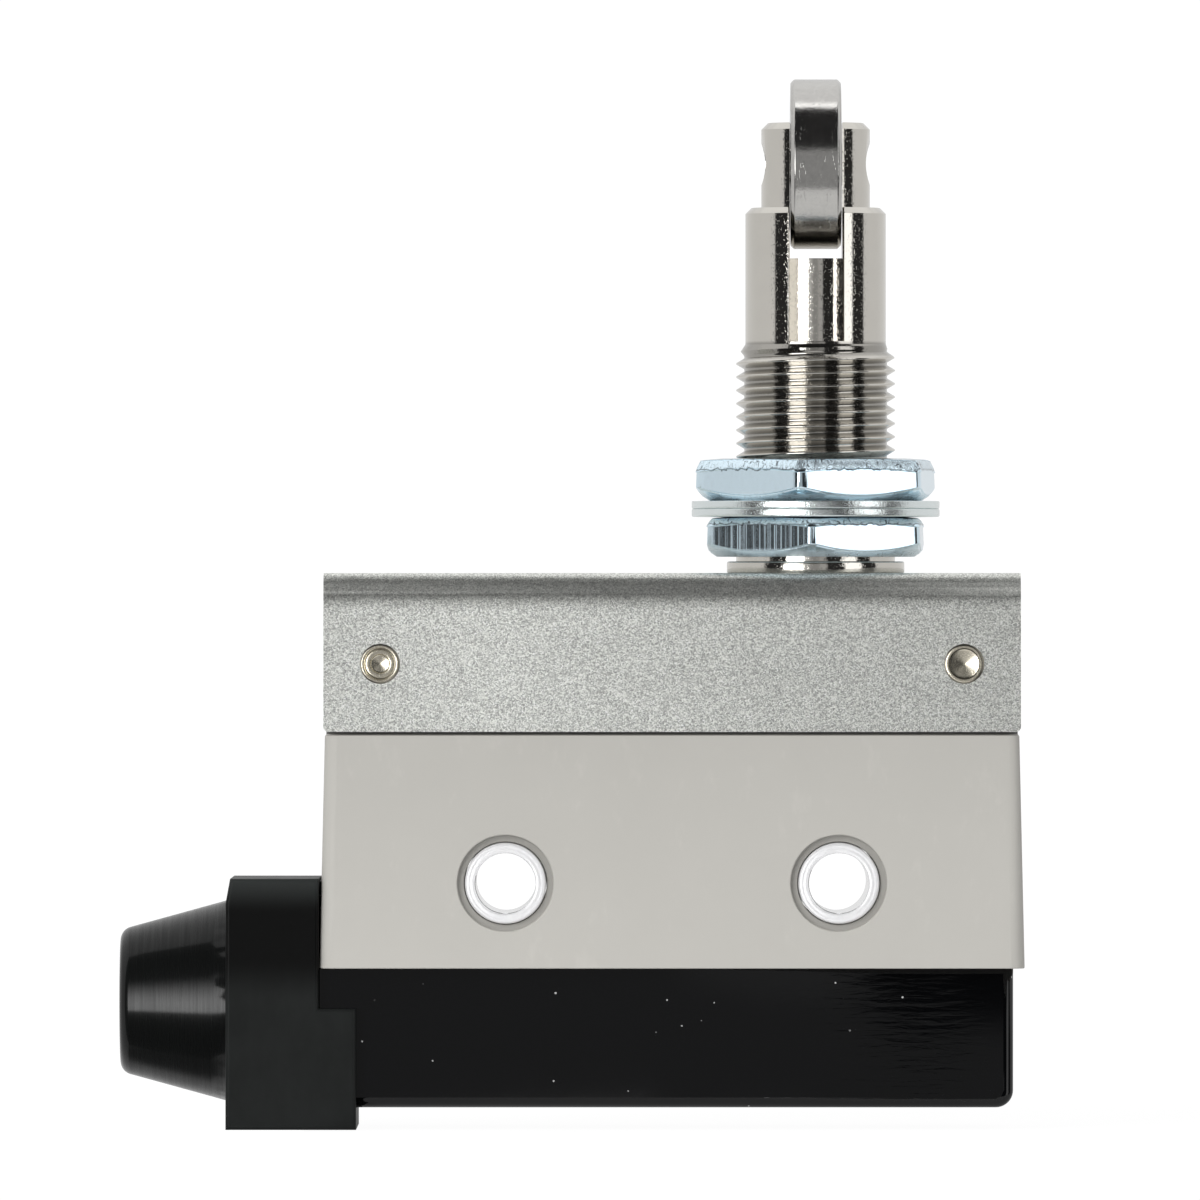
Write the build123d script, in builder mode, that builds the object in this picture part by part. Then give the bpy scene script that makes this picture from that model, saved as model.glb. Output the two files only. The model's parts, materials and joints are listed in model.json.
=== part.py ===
from build123d import *
import os
from math import cos, radians

# An enclosed snap-action switch: a moulded housing under a folded sheet cover, a terminal cover
# and a rubber cable boot below, and a threaded barrel with a sprung roller plunger on top.
#
# Millimetres. X runs along the housing, to the barrel's side. Y runs from the front face to the
# back face. Z is up. The origin lies between the two mounting holes, half way through the housing.

os.makedirs("parts", exist_ok=True)

# Gaps between pieces
slip_gap = 0.05
seat_gap = 0.02
bore_gap = 0.05
pin_gap = 0.03

# Mounting holes and the metal eyelets that line them
hole_pitch = 25.0
hole_dia = 4.5
eyelet_dia = 6.1
eyelet_chamfer = 0.25
eyelet_sink = 0.05
recess_dia = 7.25
recess_depth = 0.5

# Housing below the sheet cover
case_depth = 18.0
case_top_length = 52.1
case_end_draft = 0.4
case_drop = 6.4
shoulder_z = 11.1
case_corner_radius = 1.0
case_end_wall = 2.85
case_side_wall = 2.1
lip_recess_height = 2.0
lip_recess_widening = 1.0

# Upper housing, under the sheet cover
upper_end_wall = 6.75
upper_side_wall = 1.75
case_top_wall = 1.47

# Sheet cover, its gasket and its rivets
sheet = 1.0
bend_radius = 1.7
cover_gap = 0.25
cover_overhang = 0.1
cover_corner_radius = 0.4
gasket_thickness = 0.4
gasket_inset = 0.05
rivet_from_end = 4.25
rivet_above_edge = 5.1
rivet_dia = 2.3
rivet_head_dia = 3.0
rivet_head = 0.15
rivet_punch_dia = 1.7
rivet_punch_point_dia = 0.4
rivet_punch_depth = 0.7

# Insulating base and inner cover of the switch itself
base_inset = 0.1
base_top_z = 5.0
base_fit = 0.35
chamber_end_wall = 2.8
chamber_side_wall = 1.2
chamber_depth = 1.2
lid_height = 6.4
lid_top_wall = 1.2

# Barrel
barrel_from_end = 15.3
travel = 5.5
stem_end_gap = 1.0
stem_tip = 0.4
stem_ring_thickness = 0.6
stem_ring_gap = 0.2
barrel_tail_lip = 0.6
barrel_ring_thickness = 0.65
barrel_floor = 1.9
flange_dia = 13.4
flange_thickness = 0.88
thread_dia = 12.0
thread_length = 16.35
thread_chamfer = 0.45
collar_dia = 10.6
collar_length = 10.3
collar_chamfer = 0.45
tail_dia = 11.0
barrel_slot_depth = 10.1
barrel_ring_groove = 0.6
barrel_ring_width = 1.15
ring_mouth = 3.4
ring_pocket_gap = 0.4

# Nuts and washers on the barrel
lower_nut_gap = 0.35
lower_nut_flats = 16.0
lower_nut_height = 3.0
lower_nut_turn = 27.3
upper_nut_flats = 17.0
upper_nut_height = 3.2
upper_nut_turn = 22.5
nut_corner_drop = 0.55
nut_fit = 0.05
washer_dia = 18.7
washer_thickness = 0.6
washer_fit = 0.25

# Plunger and roller
plunger_dia = 8.2
plunger_rise = 6.4
plunger_chamfer = 0.5
fork_slot = 4.2
fork_depth = 10.25
roller_below_top = 3.1
roller_dia = 12.8
roller_width = 3.8
roller_chamfer = 0.27
roller_pin_dia = 3.1
roller_pin_sink = 0.4
fork_hole_gap = 0.05
stem_dia = 5.2
return_spring_length = 13.0
return_spring_wire = 0.8
return_spring_turns = 7
seal_above_step = 2.6
seal_groove_height = 1.3
seal_groove_depth = 1.1
seal_wire = 1.06
stem_ring_groove = 0.6
stem_ring_width = 1.4
stem_ring_mouth = 2.4

# Overtravel spring and its push pin, in the plunger's hollow stem
stem_bore_dia = 3.4
stem_mouth_dia = 2.4
stem_mouth_lip = 0.7
stem_roof = 1.0
push_pin_head = 1.5
overtravel_wire = 0.45
overtravel_turns = 10

# Push button
button_dia = 4.0
button_rise = 1.0
button_collar_dia = 6.0
button_collar = 1.0
button_collar_gap = 0.3
button_nose_dia = 2.4

# Contact blade
blade_z = 7.05
blade_thickness = 0.3
blade_width = 4.0
pivot_from_leg = 0.5
contact_from_leg = 2.9
blade_overhang = 1.6
eye_dia = 2.0
pivot_pin_dia = 1.0
tongue_width = 1.2
tongue_slot = 0.5
tongue_length = 15.0
tongue_root_from_pivot = 21.5

# Contacts
contact_dia = 2.6
moving_contact_height = 1.6
contact_shank_dia = 1.3
contact_opening = 0.83
fixed_contact_dia = 3.0
closed_contact_height = 0.78

# Terminals, their screws and clamp washers
strip = 0.8
leg_width = 5.0
plate_width = 6.4
plate_length = 6.4
ear_width = 2.2
ear_above_pivot = 1.0
common_leg_from_hole = 4.5
open_leg_from_hole = 5.5
closed_leg_from_wall = 1.0
closed_tab_reach = 4.2
screw_from_leg = 3.2
screw_dia = 2.9
screw_head_dia = 5.4
screw_head = 1.85
screw_head_chamfer = 0.35
screw_reach = 3.0
screw_slot = 0.8
screw_slot_depth = 0.9
clamp_width = 6.0
clamp_thickness = 0.9
clamp_corner_radius = 0.75

# Terminal cover
terminal_cover_height = 10.44
terminal_cover_end_inset = 0.85
terminal_cover_side_inset = 1.1
terminal_cover_wall = 1.5
terminal_cover_end_radius = 1.3
terminal_cover_edge_radius = 0.75
lip_height = 1.5
lip_thickness = 1.0

# Rubber boot
boot_length = 7.0
boot_top_z = 0.34
boot_below_cover = 1.61
boot_side_inset = 0.05
boot_wall = 1.5
boot_edge_radius = 0.3
boot_lean = 0.35
boot_lean_height = 1.9
boot_face_gap = 0.05
skirt_reach = 2.75
skirt_top_z = -9.4
tongue_reach = 1.0
tongue_thickness = 1.0
boot_tongue_width = 8.0
cone_z = -8.96
cone_root_radius = 7.57
cone_end_radius = 5.35
cone_length = 8.05
cone_end_fillet = 1.0
cable_dia = 7.0

# Housing levels and half sizes
case_bottom_z = -case_drop
case_half_depth = case_depth / 2
case_top_half = case_top_length / 2
case_bottom_half = case_top_half + case_end_draft
cavity_half_x = case_bottom_half - case_end_wall
cavity_half_y = case_half_depth - case_side_wall
cover_half = case_top_half + cover_overhang
rivet_x = cover_half - rivet_from_end
barrel_x = cover_half - barrel_from_end
upper_half_x = case_top_half - cover_overhang
upper_half_y = case_half_depth - sheet - slip_gap
upper_cavity_half_x = upper_half_x - upper_end_wall
upper_cavity_half_y = upper_half_y - upper_side_wall

# Levels of the switch itself
base_bottom_z = case_bottom_z + base_inset
base_half_x = cavity_half_x - base_fit
base_half_y = cavity_half_y - base_fit
chamber_half_x = base_half_x - chamber_end_wall
chamber_half_y = base_half_y - chamber_side_wall
chamber_floor_z = base_top_z - chamber_depth
hole_x = hole_pitch / 2
common_leg_x = -hole_x - common_leg_from_hole
open_leg_x = hole_x - open_leg_from_hole
closed_leg_x = chamber_half_x - closed_leg_from_wall
pivot_x = common_leg_x + pivot_from_leg
contact_x = closed_leg_x - contact_from_leg
tongue_root_x = pivot_x + tongue_root_from_pivot
lid_top_z = base_top_z + lid_height
lid_ceiling_z = lid_top_z - lid_top_wall
cavity_top_z = lid_top_z + slip_gap

# Levels up the barrel, from the inner cover's top
stem_bottom_z = lid_top_z + stem_end_gap + travel
stem_ring_z = stem_bottom_z + stem_tip
barrel_bottom_z = stem_ring_z + stem_ring_thickness + stem_ring_gap
barrel_ring_z = barrel_bottom_z + barrel_tail_lip
upper_cavity_top_z = barrel_ring_z + barrel_ring_thickness + slip_gap
case_top_z = upper_cavity_top_z + case_top_wall
gasket_top_z = case_top_z + gasket_thickness
cover_top_z = gasket_top_z + sheet
cover_bottom_z = shoulder_z + cover_gap
rivet_z = cover_bottom_z + rivet_above_edge
flange_top_z = cover_top_z + flange_thickness
thread_top_z = flange_top_z + thread_length
barrel_top_z = thread_top_z + collar_length
barrel_slot_z = barrel_top_z - barrel_slot_depth
spring_seat_z = barrel_bottom_z + barrel_floor
barrel_ring_inner = tail_dia / 2 - barrel_ring_groove + slip_gap
lower_nut_z = flange_top_z + lower_nut_gap
lower_washer_z = lower_nut_z + lower_nut_height
upper_washer_z = lower_washer_z + washer_thickness
upper_nut_z = upper_washer_z + washer_thickness

# Levels on the plunger
plunger_top_z = barrel_top_z + plunger_rise
fork_bottom_z = plunger_top_z - fork_depth
roller_z = plunger_top_z - roller_below_top
plunger_step_z = spring_seat_z + return_spring_length
seal_groove_z = plunger_step_z + seal_above_step
stem_bore_top_z = plunger_step_z - stem_roof
stem_mouth_top_z = stem_bottom_z + stem_mouth_lip
push_pin_head_z = stem_mouth_top_z + slip_gap
overtravel_seat_z = push_pin_head_z + push_pin_head
button_top_z = lid_top_z + button_rise
blade_top_z = blade_z + blade_thickness
blade_mid_z = blade_z + blade_thickness / 2
button_bottom_z = blade_top_z + seat_gap
button_collar_z = lid_ceiling_z - button_collar_gap - button_collar
push_pin_bottom_z = button_top_z + seat_gap

# Levels of the contacts and terminals
moving_contact_z = blade_mid_z - moving_contact_height / 2
closed_contact_z = moving_contact_z + moving_contact_height + seat_gap
closed_tab_z = closed_contact_z + closed_contact_height
open_strip_z = chamber_floor_z
open_contact_z = open_strip_z + strip
open_contact_height = moving_contact_z - contact_opening - open_contact_z
plate_z = base_bottom_z - strip
clamp_z = plate_z - seat_gap - clamp_thickness
screw_head_z = clamp_z - seat_gap - screw_head
screw_top_z = base_bottom_z + screw_reach

# Terminal cover and boot levels
terminal_cover_bottom_z = case_bottom_z - terminal_cover_height
terminal_cover_half_y = case_half_depth - terminal_cover_side_inset
terminal_cover_right = case_bottom_half - terminal_cover_end_inset
terminal_inner_half_y = terminal_cover_half_y - terminal_cover_wall
terminal_inner_right = terminal_cover_right - terminal_cover_wall
terminal_cover_left = -case_bottom_half
lip_half_x = cavity_half_x + lip_recess_widening - slip_gap
lip_half_y = cavity_half_y + lip_recess_widening - slip_gap
boot_right = terminal_cover_left - boot_face_gap
boot_left = boot_right - boot_length
boot_bottom_z = terminal_cover_bottom_z - slip_gap - boot_below_cover
boot_half_y = case_half_depth - boot_side_inset
boot_inner_left = boot_left + boot_wall
boot_inner_bottom_z = terminal_cover_bottom_z + terminal_cover_wall
boot_inner_top_z = boot_top_z - boot_wall
skirt_right = terminal_cover_left + skirt_reach
tongue_z = boot_inner_top_z + (boot_wall - tongue_thickness) / 2
tongue_right = boot_right + boot_face_gap + tongue_reach
cone_end_x = boot_left - cone_length


# Housing: one moulding, open below for the switch, with an upper block that the sheet cover wraps
with BuildPart() as housing:
    with BuildSketch(Plane.XZ):
        Polygon(
            (-case_bottom_half, case_bottom_z),
            (case_bottom_half, case_bottom_z),
            (case_top_half, shoulder_z),
            (-case_top_half, shoulder_z),
            align=None,
        )
    extrude(amount=case_half_depth, both=True)
    upright_edges = housing.edges().filter_by(lambda e: abs(e.tangent_at(0.5).Z) > 0.9)
    fillet(upright_edges, case_corner_radius)
    with BuildSketch(Plane.XY.offset(shoulder_z)):
        RectangleRounded(2 * upper_half_x, 2 * upper_half_y, case_corner_radius)
    extrude(amount=case_top_z - shoulder_z)
    fillet(housing.edges().filter_by(Axis.X).group_by(Axis.Z)[-1], bend_radius - sheet)
    # room for the switch, open below
    with BuildSketch(Plane.XY.offset(case_bottom_z)):
        Rectangle(2 * cavity_half_x, 2 * cavity_half_y)
    extrude(amount=cavity_top_z - case_bottom_z, mode=Mode.SUBTRACT)
    # step that takes the terminal cover's lip
    with BuildSketch(Plane.XY.offset(case_bottom_z)):
        Rectangle(
            2 * (cavity_half_x + lip_recess_widening),
            2 * (cavity_half_y + lip_recess_widening),
        )
    extrude(amount=lip_recess_height, mode=Mode.SUBTRACT)
    # room for the plunger's stem
    with BuildSketch(Plane.XY.offset(cavity_top_z)):
        Rectangle(2 * upper_cavity_half_x, 2 * upper_cavity_half_y)
    extrude(amount=upper_cavity_top_z - cavity_top_z, mode=Mode.SUBTRACT)
    # hole for the barrel's tail
    with BuildSketch(Plane.XY.offset(upper_cavity_top_z)):
        with Locations((barrel_x, 0)):
            Circle(tail_dia / 2 + slip_gap)
    extrude(amount=case_top_wall, mode=Mode.SUBTRACT)
    # round pocket for the ring that holds the barrel
    with BuildSketch(Plane.XY.offset(upper_cavity_top_z)):
        with Locations((barrel_x, 0)):
            Circle(barrel_ring_inner + barrel_ring_width + ring_pocket_gap)
    extrude(amount=cavity_top_z - upper_cavity_top_z, mode=Mode.SUBTRACT)
    # holes for the eyelets and the rivets, from front to back
    with BuildSketch(Plane.XZ):
        with Locations((-hole_x, 0), (hole_x, 0)):
            Circle(eyelet_dia / 2 + slip_gap)
        with Locations((-rivet_x, rivet_z), (rivet_x, rivet_z)):
            Circle(rivet_dia / 2 + slip_gap)
    extrude(amount=case_depth, both=True, mode=Mode.SUBTRACT)
    # shallow recesses around the eyelets, in both faces
    for side in (-1, 1):
        with BuildSketch(Plane.XZ.offset(side * (case_half_depth - recess_depth))):
            with Locations((-hole_x, 0), (hole_x, 0)):
                Circle(recess_dia / 2)
        extrude(amount=side * recess_depth, mode=Mode.SUBTRACT)
    # notch in the left end for the boot's tongue
    with BuildSketch(Plane.XY.offset(tongue_z - slip_gap)):
        with Locations((tongue_right + slip_gap, 0)):
            Rectangle(
                2 * tongue_reach + case_end_wall,
                boot_tongue_width + 2 * slip_gap,
                align=(Align.MAX, Align.CENTER),
            )
    extrude(amount=tongue_thickness + 2 * slip_gap, mode=Mode.SUBTRACT)

housing.part.label = "housing"
export_step(housing.part, "parts/housing.step")

# Eyelets: plain metal tubes, just under flush with both faces
eyelet_half = case_half_depth - eyelet_sink
for name, x in (("mounting_eyelet_left", -hole_x), ("mounting_eyelet_right", hole_x)):
    with BuildPart() as eyelet:
        with BuildSketch(Plane.XZ):
            with Locations((x, 0)):
                Circle(eyelet_dia / 2)
                Circle(hole_dia / 2, mode=Mode.SUBTRACT)
        extrude(amount=eyelet_half, both=True)
        chamfer(eyelet.edges().filter_by(GeomType.CIRCLE).group_by(SortBy.RADIUS)[0], eyelet_chamfer)
    eyelet.part.label = name
    export_step(eyelet.part, f"parts/{name}.step")

# Top cover: one folded sheet, open at both ends and below
cover_mid_z = (cover_bottom_z + cover_top_z) / 2
with BuildPart(Plane.XY.offset(cover_mid_z)) as top_cover:
    Box(2 * cover_half, case_depth, cover_top_z - cover_bottom_z)
    fillet(top_cover.edges().filter_by(Axis.X).group_by(Axis.Z)[-1], bend_radius)
    open_faces = top_cover.faces().filter_by(Axis.X) + top_cover.faces().sort_by(Axis.Z)[:1]
    offset(amount=-sheet, openings=open_faces)
    fillet(top_cover.edges().filter_by(Axis.Y).group_by(Axis.Z)[0], cover_corner_radius)
    with BuildSketch(Plane.XY.offset(gasket_top_z)):
        with Locations((barrel_x, 0)):
            Circle(tail_dia / 2 + slip_gap)
    extrude(amount=sheet, mode=Mode.SUBTRACT)
    with BuildSketch(Plane.XZ):
        with Locations((-rivet_x, rivet_z), (rivet_x, rivet_z)):
            Circle(rivet_dia / 2 + slip_gap)
    extrude(amount=case_depth, both=True, mode=Mode.SUBTRACT)

top_cover.part.label = "top_cover"
export_step(top_cover.part, "parts/top_cover.step")

# Gasket between the housing's top and the sheet cover
with BuildPart() as cover_gasket:
    with BuildSketch(Plane.XY.offset(case_top_z)):
        RectangleRounded(
            2 * (upper_half_x - gasket_inset),
            2 * (case_half_depth - bend_radius - gasket_inset),
            case_corner_radius,
        )
        with Locations((barrel_x, 0)):
            Circle(tail_dia / 2 + slip_gap, mode=Mode.SUBTRACT)
    extrude(amount=gasket_thickness)

cover_gasket.part.label = "cover_gasket"
export_step(cover_gasket.part, "parts/cover_gasket.step")

# Cover rivets: through from front to back, punched out over the sheet at both ends
for name, x in (("cover_rivet_left", -rivet_x), ("cover_rivet_right", rivet_x)):
    with BuildPart() as rivet:
        with BuildSketch(Plane.XZ):
            with Locations((x, rivet_z)):
                Circle(rivet_dia / 2)
        extrude(amount=case_half_depth, both=True)
        for side in (-1, 1):
            head_plane = Plane(
                origin=(x, side * case_half_depth, rivet_z), x_dir=(1, 0, 0), z_dir=(0, side, 0)
            )
            with BuildSketch(head_plane):
                Circle(rivet_head_dia / 2)
            extrude(amount=rivet_head)
            with Locations(head_plane.offset(rivet_head)):
                CounterSinkHole(
                    radius=rivet_punch_point_dia / 2,
                    counter_sink_radius=rivet_punch_dia / 2,
                    depth=rivet_punch_depth,
                )
    rivet.part.label = name
    export_step(rivet.part, f"parts/{name}.step")

# Barrel: turned from one bar, threaded outside, bored for the plunger, slotted for the roller
with BuildPart() as threaded_barrel:
    with BuildSketch(Plane.XY.offset(barrel_bottom_z)):
        with Locations((barrel_x, 0)):
            Circle(tail_dia / 2)
    extrude(amount=cover_top_z - barrel_bottom_z)
    with BuildSketch(Plane.XY.offset(cover_top_z)):
        with Locations((barrel_x, 0)):
            Circle(flange_dia / 2)
    extrude(amount=flange_thickness)
    with BuildSketch(Plane.XY.offset(flange_top_z)):
        with Locations((barrel_x, 0)):
            Circle(thread_dia / 2)
    extrude(amount=thread_length)
    chamfer(threaded_barrel.edges().group_by(Axis.Z)[-1], thread_chamfer)
    with BuildSketch(Plane.XY.offset(thread_top_z)):
        with Locations((barrel_x, 0)):
            Circle(collar_dia / 2)
    extrude(amount=collar_length)
    chamfer(threaded_barrel.edges().group_by(Axis.Z)[-1], collar_chamfer)
    with BuildSketch(Plane.XY.offset(spring_seat_z)):
        with Locations((barrel_x, 0)):
            Circle(plunger_dia / 2 + bore_gap)
    extrude(amount=barrel_top_z - spring_seat_z, mode=Mode.SUBTRACT)
    with BuildSketch(Plane.XY.offset(barrel_bottom_z)):
        with Locations((barrel_x, 0)):
            Circle(stem_dia / 2 + bore_gap)
    extrude(amount=barrel_floor, mode=Mode.SUBTRACT)
    # slot for the roller, right through from front to back
    with BuildSketch(Plane.XY.offset(barrel_slot_z)):
        with Locations((barrel_x, 0)):
            Rectangle(fork_slot, flange_dia)
    extrude(amount=barrel_slot_depth, mode=Mode.SUBTRACT)
    # groove for the ring that holds the barrel in the housing
    with BuildSketch(Plane.XY.offset(barrel_ring_z)):
        with Locations((barrel_x, 0)):
            Circle(flange_dia / 2)
            Circle(tail_dia / 2 - barrel_ring_groove, mode=Mode.SUBTRACT)
    extrude(amount=barrel_ring_thickness + slip_gap, mode=Mode.SUBTRACT)

threaded_barrel.part.label = "threaded_barrel"
export_step(threaded_barrel.part, "parts/threaded_barrel.step")

# Spring ring in the barrel's groove, under the housing's top wall
with BuildPart() as barrel_retaining_ring:
    with BuildSketch(Plane.XY.offset(barrel_ring_z + slip_gap)):
        with Locations((barrel_x, 0)):
            Circle(barrel_ring_inner + barrel_ring_width)
            Circle(barrel_ring_inner, mode=Mode.SUBTRACT)
        with Locations((barrel_x - barrel_ring_inner - barrel_ring_width / 2, 0)):
            Rectangle(2 * barrel_ring_width, ring_mouth, mode=Mode.SUBTRACT)
    extrude(amount=barrel_ring_thickness - slip_gap)

barrel_retaining_ring.part.label = "barrel_retaining_ring"
export_step(barrel_retaining_ring.part, "parts/barrel_retaining_ring.step")

# Hexagon nuts, chamfered at the corners on both faces
nuts = (
    ("lower_hex_nut", lower_nut_z, lower_nut_flats, lower_nut_height, lower_nut_turn),
    ("upper_hex_nut", upper_nut_z, upper_nut_flats, upper_nut_height, upper_nut_turn),
)
for name, z, flats, height, turn in nuts:
    corner_radius = flats / 2 / cos(radians(30))
    with BuildPart() as nut:
        with BuildSketch(Plane.XY.offset(z)):
            with Locations((barrel_x, 0)):
                RegularPolygon(flats / 2, 6, major_radius=False, rotation=turn)
                Circle(thread_dia / 2 + nut_fit, mode=Mode.SUBTRACT)
        extrude(amount=height)
        with BuildSketch(Plane.XZ):
            with BuildLine():
                Polyline(
                    (barrel_x, z),
                    (barrel_x + flats / 2, z),
                    (barrel_x + corner_radius, z + nut_corner_drop),
                    (barrel_x + corner_radius, z + height - nut_corner_drop),
                    (barrel_x + flats / 2, z + height),
                    (barrel_x, z + height),
                    close=True,
                )
            make_face()
        revolve(axis=Axis((barrel_x, 0, 0), (0, 0, 1)), mode=Mode.INTERSECT)
    nut.part.label = name
    export_step(nut.part, f"parts/{name}.step")

# Flat washers between the nuts
for name, z in (("lower_panel_washer", lower_washer_z), ("upper_panel_washer", upper_washer_z)):
    with BuildPart() as washer:
        with BuildSketch(Plane.XY.offset(z)):
            with Locations((barrel_x, 0)):
                Circle(washer_dia / 2)
                Circle(thread_dia / 2 + washer_fit, mode=Mode.SUBTRACT)
        extrude(amount=washer_thickness)
    washer.part.label = name
    export_step(washer.part, f"parts/{name}.step")

# Plunger: forked at the top for the roller, with a hollow stem below
with BuildPart() as roller_plunger:
    with BuildSketch(Plane.XY.offset(stem_bottom_z)):
        with Locations((barrel_x, 0)):
            Circle(stem_dia / 2)
    extrude(amount=plunger_step_z - stem_bottom_z)
    with BuildSketch(Plane.XY.offset(plunger_step_z)):
        with Locations((barrel_x, 0)):
            Circle(plunger_dia / 2)
    extrude(amount=plunger_top_z - plunger_step_z)
    chamfer(roller_plunger.edges().group_by(Axis.Z)[-1], plunger_chamfer)
    with BuildSketch(Plane.XY.offset(fork_bottom_z)):
        with Locations((barrel_x, 0)):
            Rectangle(fork_slot, 2 * plunger_dia)
    extrude(amount=fork_depth, mode=Mode.SUBTRACT)
    with BuildSketch(Plane.YZ.offset(barrel_x)):
        with Locations((0, roller_z)):
            Circle(roller_pin_dia / 2 + fork_hole_gap)
    extrude(amount=plunger_dia, both=True, mode=Mode.SUBTRACT)
    # groove for the seal
    with BuildSketch(Plane.XY.offset(seal_groove_z)):
        with Locations((barrel_x, 0)):
            Circle(plunger_dia)
            Circle(plunger_dia / 2 - seal_groove_depth, mode=Mode.SUBTRACT)
    extrude(amount=seal_groove_height, mode=Mode.SUBTRACT)
    # bore for the overtravel spring, with a narrower mouth
    with BuildSketch(Plane.XY.offset(stem_mouth_top_z)):
        with Locations((barrel_x, 0)):
            Circle(stem_bore_dia / 2)
    extrude(amount=stem_bore_top_z - stem_mouth_top_z, mode=Mode.SUBTRACT)
    with BuildSketch(Plane.XY.offset(stem_bottom_z)):
        with Locations((barrel_x, 0)):
            Circle(stem_mouth_dia / 2)
    extrude(amount=stem_mouth_lip, mode=Mode.SUBTRACT)
    # groove for the ring that stops the plunger
    with BuildSketch(Plane.XY.offset(stem_ring_z - slip_gap)):
        with Locations((barrel_x, 0)):
            Circle(plunger_dia)
            Circle(stem_dia / 2 - stem_ring_groove / 2, mode=Mode.SUBTRACT)
    extrude(amount=stem_ring_thickness + 2 * slip_gap, mode=Mode.SUBTRACT)

roller_plunger.part.label = "roller_plunger"
export_step(roller_plunger.part, "parts/roller_plunger.step")

# Seal ring in the plunger's groove
seal_radius = plunger_dia / 2 - seal_wire / 2
with BuildPart() as plunger_seal_ring:
    with BuildSketch(Plane.XZ):
        with Locations((barrel_x + seal_radius, seal_groove_z + seal_groove_height / 2)):
            Circle(seal_wire / 2)
    revolve(axis=Axis((barrel_x, 0, 0), (0, 0, 1)))

plunger_seal_ring.part.label = "plunger_seal_ring"
export_step(plunger_seal_ring.part, "parts/plunger_seal_ring.step")

# Spring ring on the stem, which stops the plunger under the barrel
stem_ring_inner = stem_dia / 2 - stem_ring_groove / 2 + slip_gap
with BuildPart() as retaining_ring:
    with BuildSketch(Plane.XY.offset(stem_ring_z)):
        with Locations((barrel_x, 0)):
            Circle(stem_ring_inner + stem_ring_width)
            Circle(stem_ring_inner, mode=Mode.SUBTRACT)
        with Locations((barrel_x - stem_ring_inner - stem_ring_width / 2, 0)):
            Rectangle(2 * stem_ring_width, stem_ring_mouth, mode=Mode.SUBTRACT)
    extrude(amount=stem_ring_thickness)

retaining_ring.part.label = "retaining_ring"
export_step(retaining_ring.part, "parts/retaining_ring.step")

# Return spring, around the stem, from the barrel's floor to the plunger's step
return_spring_radius = (plunger_dia / 2 + bore_gap + stem_dia / 2) / 2
return_spring_rise = return_spring_length - return_spring_wire - 2 * seat_gap
with BuildPart() as return_spring:
    with BuildLine() as coil:
        Helix(
            pitch=return_spring_rise / return_spring_turns,
            height=return_spring_rise,
            radius=return_spring_radius,
            center=(barrel_x, 0, spring_seat_z + seat_gap + return_spring_wire / 2),
        )
    with BuildSketch(Plane(origin=coil.line @ 0, z_dir=coil.line % 0)):
        Circle(return_spring_wire / 2)
    sweep(path=coil.line, is_frenet=True)

return_spring.part.label = "return_spring"
export_step(return_spring.part, "parts/return_spring.step")

# Overtravel spring, in the stem, above the push pin
overtravel_radius = stem_bore_dia / 2 - overtravel_wire / 2 - 2 * slip_gap
overtravel_rise = stem_bore_top_z - overtravel_seat_z - overtravel_wire - 2 * seat_gap
with BuildPart() as overtravel_spring:
    with BuildLine() as coil:
        Helix(
            pitch=overtravel_rise / overtravel_turns,
            height=overtravel_rise,
            radius=overtravel_radius,
            center=(barrel_x, 0, overtravel_seat_z + seat_gap + overtravel_wire / 2),
        )
    with BuildSketch(Plane(origin=coil.line @ 0, z_dir=coil.line % 0)):
        Circle(overtravel_wire / 2)
    sweep(path=coil.line, is_frenet=True)

overtravel_spring.part.label = "overtravel_spring"
export_step(overtravel_spring.part, "parts/overtravel_spring.step")

# Push pin: its head slides in the stem, its tip stands on the button
with BuildPart() as push_pin:
    with BuildSketch(Plane.XY.offset(push_pin_bottom_z)):
        with Locations((barrel_x, 0)):
            Circle(stem_mouth_dia / 2 - slip_gap)
    extrude(amount=push_pin_head_z - push_pin_bottom_z)
    with BuildSketch(Plane.XY.offset(push_pin_head_z)):
        with Locations((barrel_x, 0)):
            Circle(stem_bore_dia / 2 - slip_gap)
    extrude(amount=push_pin_head)

push_pin.part.label = "push_pin"
export_step(push_pin.part, "parts/push_pin.step")

# Roller pin: its ends lie a little below the fork's round sides
with BuildPart() as roller_pin:
    with BuildSketch(Plane.YZ.offset(barrel_x)):
        with Locations((0, roller_z)):
            Circle(roller_pin_dia / 2)
    extrude(amount=plunger_dia / 2 - roller_pin_sink, both=True)

roller_pin.part.label = "roller_pin"
export_step(roller_pin.part, "parts/roller_pin.step")

# Roller: a steel disc with a broken edge on both rims
with BuildPart() as roller:
    with BuildSketch(Plane.YZ.offset(barrel_x)):
        with Locations((0, roller_z)):
            Circle(roller_dia / 2)
    extrude(amount=roller_width / 2, both=True)
    chamfer(roller.edges().filter_by(GeomType.CIRCLE), roller_chamfer)
    with BuildSketch(Plane.YZ.offset(barrel_x)):
        with Locations((0, roller_z)):
            Circle(roller_pin_dia / 2 + pin_gap)
    extrude(amount=roller_width, both=True, mode=Mode.SUBTRACT)

roller.part.label = "roller"
export_step(roller.part, "parts/roller.step")

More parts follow.
